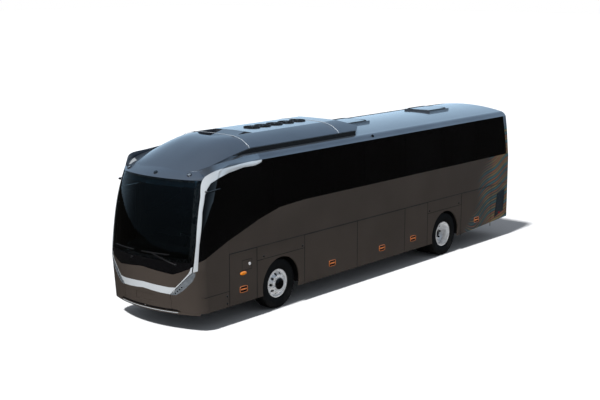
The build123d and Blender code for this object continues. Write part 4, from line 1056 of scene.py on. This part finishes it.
# black strips sunk in the gaps between side panels: partly rubber seals, partly painted shade inside
# the gaps
gaps = [y for name, y in jointY.items() if name != "tail"]
lines = [((y, sealAndGapShade["low"]), (y, sealAndGapShade["high"]), sealAndGapShade["half"]) for y in gaps]
sealsAndGapShade = [plain for side, hand in sides for plain in sideBars(hand, sealAndGapShade["bar"], lines)]
shells("panelSealsAndGapShade", sealsAndGapShade, "black_plastic")
print("sweeps and seals done")

# black strips along the flaps' edges, the hinge line, the arches, the low panel and the fuel flap:
# painted shade of the seams, wider than the joints themselves
half = seamShade["half"]
edge = seamShade["gap"] + half
wall, top, low = seamShade["hinge"] + edge, seamShade["hinge"] - edge, seamShade["low"]
for side, hand in sides:
    for place, (start, end) in seamShade["flaps"].items():
        y0, y1, foot = jointY[start] + edge, jointY[end] - edge, low + seamShade["flapFoot"]
        corners = ((y0, foot), (y0, top), (y1, foot), (y1, top))
        lines = [(corners[a], corners[b], half) for a, b in ((0, 1), (2, 3), (1, 3))]
        if place == "locker" and side == "left":
            corners = [(frontY + y, z) for z in seamShade["fuelZ"] for y in seamShade["fuelY"]]
            around = ((0, 1), (1, 3), (3, 2), (2, 0))
            lines += [(corners[a], corners[b], seamShade["fuelHalf"]) for a, b in around]
        bars = sideBars(hand, seamShade["bar"], lines)
        shells(f"flapSeamShade_{place}_{side}", bars, "black_plastic", f"flap_{place}_{side}")
    lines = [((jointY["door"], wall), (jointY["tail"] - seamShade["tailGap"], wall), half)]
    for start, end in seamShade["arches"]:
        y0, y1 = jointY[start] + edge, jointY[end] - edge
        lines.append(((y0, seamShade["arch"]), (y1, seamShade["arch"]), seamShade["broad"]))
        lines += [((y, low + seamShade["archFoot"]), (y, top), half) for y in (y0, y1)]
    y = jointY["door"] - edge
    lines.append(((y, low), (y, wall), half))
    if side == "left":
        lines.append((seamShade["lowPanel"], (y, seamShade["lowPanel"][1]), seamShade["broad"]))
    shells(f"panelSeamShade_{side}", sideBars(hand, seamShade["bar"], lines), "black_plastic")
print("trims done")

# floor, sky and sun
stage = {
    "size": 160.0, "floor": (0.8, 0.8, 0.8, 1), "floorShine": (0.012, 0.011, 0.01, 1),
    "behind": (0.045, 0.06, 0.075, 1), "ahead": (0.62, 0.86, 1.1, 1), "zenith": (0.14, 0.22, 0.33, 1),
    "fill": (0.25, 0.27, 0.3, 1), "white": (1.0, 1.0, 1.0, 1), "sun": 4.4, "sunWidth": 5,
    "sunTravel": (-0.16, 2.0, -3.4),
}


def stageFloor():
    # a wide pale floor; what shines sees it dark, as asphalt
    size = stage["size"]
    mesh = bpy.data.meshes.new("floor")
    corners = [(-size, -size, 0), (size, -size, 0), (size, size, 0), (-size, size, 0)]
    mesh.from_pydata(corners, [], [(0, 1, 2, 3)])
    floor = bpy.data.objects.new("floor", mesh)
    scene.collection.objects.link(floor)
    material, tree, shader = newTree("paleFloor")
    glossy = put(tree, "LightPath").outputs["Is Glossy Ray"]
    colour = mix(tree, glossy, stage["floor"], stage["floorShine"])
    fill(tree, shader, {"Base Color": colour, "Roughness": 0.9, "Specular IOR Level": 0.0})
    mesh.materials.append(material)


def skyLight():
    # plain white behind the object; what shines sees a pale horizon and a bluer top
    world = bpy.data.worlds.new("studio")
    scene.world = world
    world.use_nodes = True
    tree = world.node_tree
    tree.nodes.clear()
    rays = put(tree, "LightPath").outputs
    x, y, z = axes(tree, "Generated")
    low = mix(tree, ramp(tree, y, -0.5, 0.5), stage["behind"], stage["ahead"])
    sky = mix(tree, ramp(tree, z, 0.0, 0.75), low, stage["zenith"])
    lit = mix(tree, rays["Is Glossy Ray"], stage["fill"], sky)
    seen = mix(tree, rays["Is Camera Ray"], lit, stage["white"])
    background = put(tree, "Background", {"Color": seen, "Strength": 1.0})
    put(tree, "OutputWorld", {0: background.outputs[0]})


def keyLight():
    # one sun that shines along its travel
    sun = bpy.data.lights.new("key", "SUN")
    sun.energy = stage["sun"]
    sun.angle = math.radians(stage["sunWidth"])
    lamp = bpy.data.objects.new("key", sun)
    x, y, z = stage["sunTravel"]
    tilt = math.atan2(math.hypot(x, y), -z)
    lamp.rotation_euler = Euler((tilt, 0, math.atan2(x, -y) + math.pi))
    scene.collection.objects.link(lamp)


stageFloor()
skyLight()
keyLight()
print("stage set")
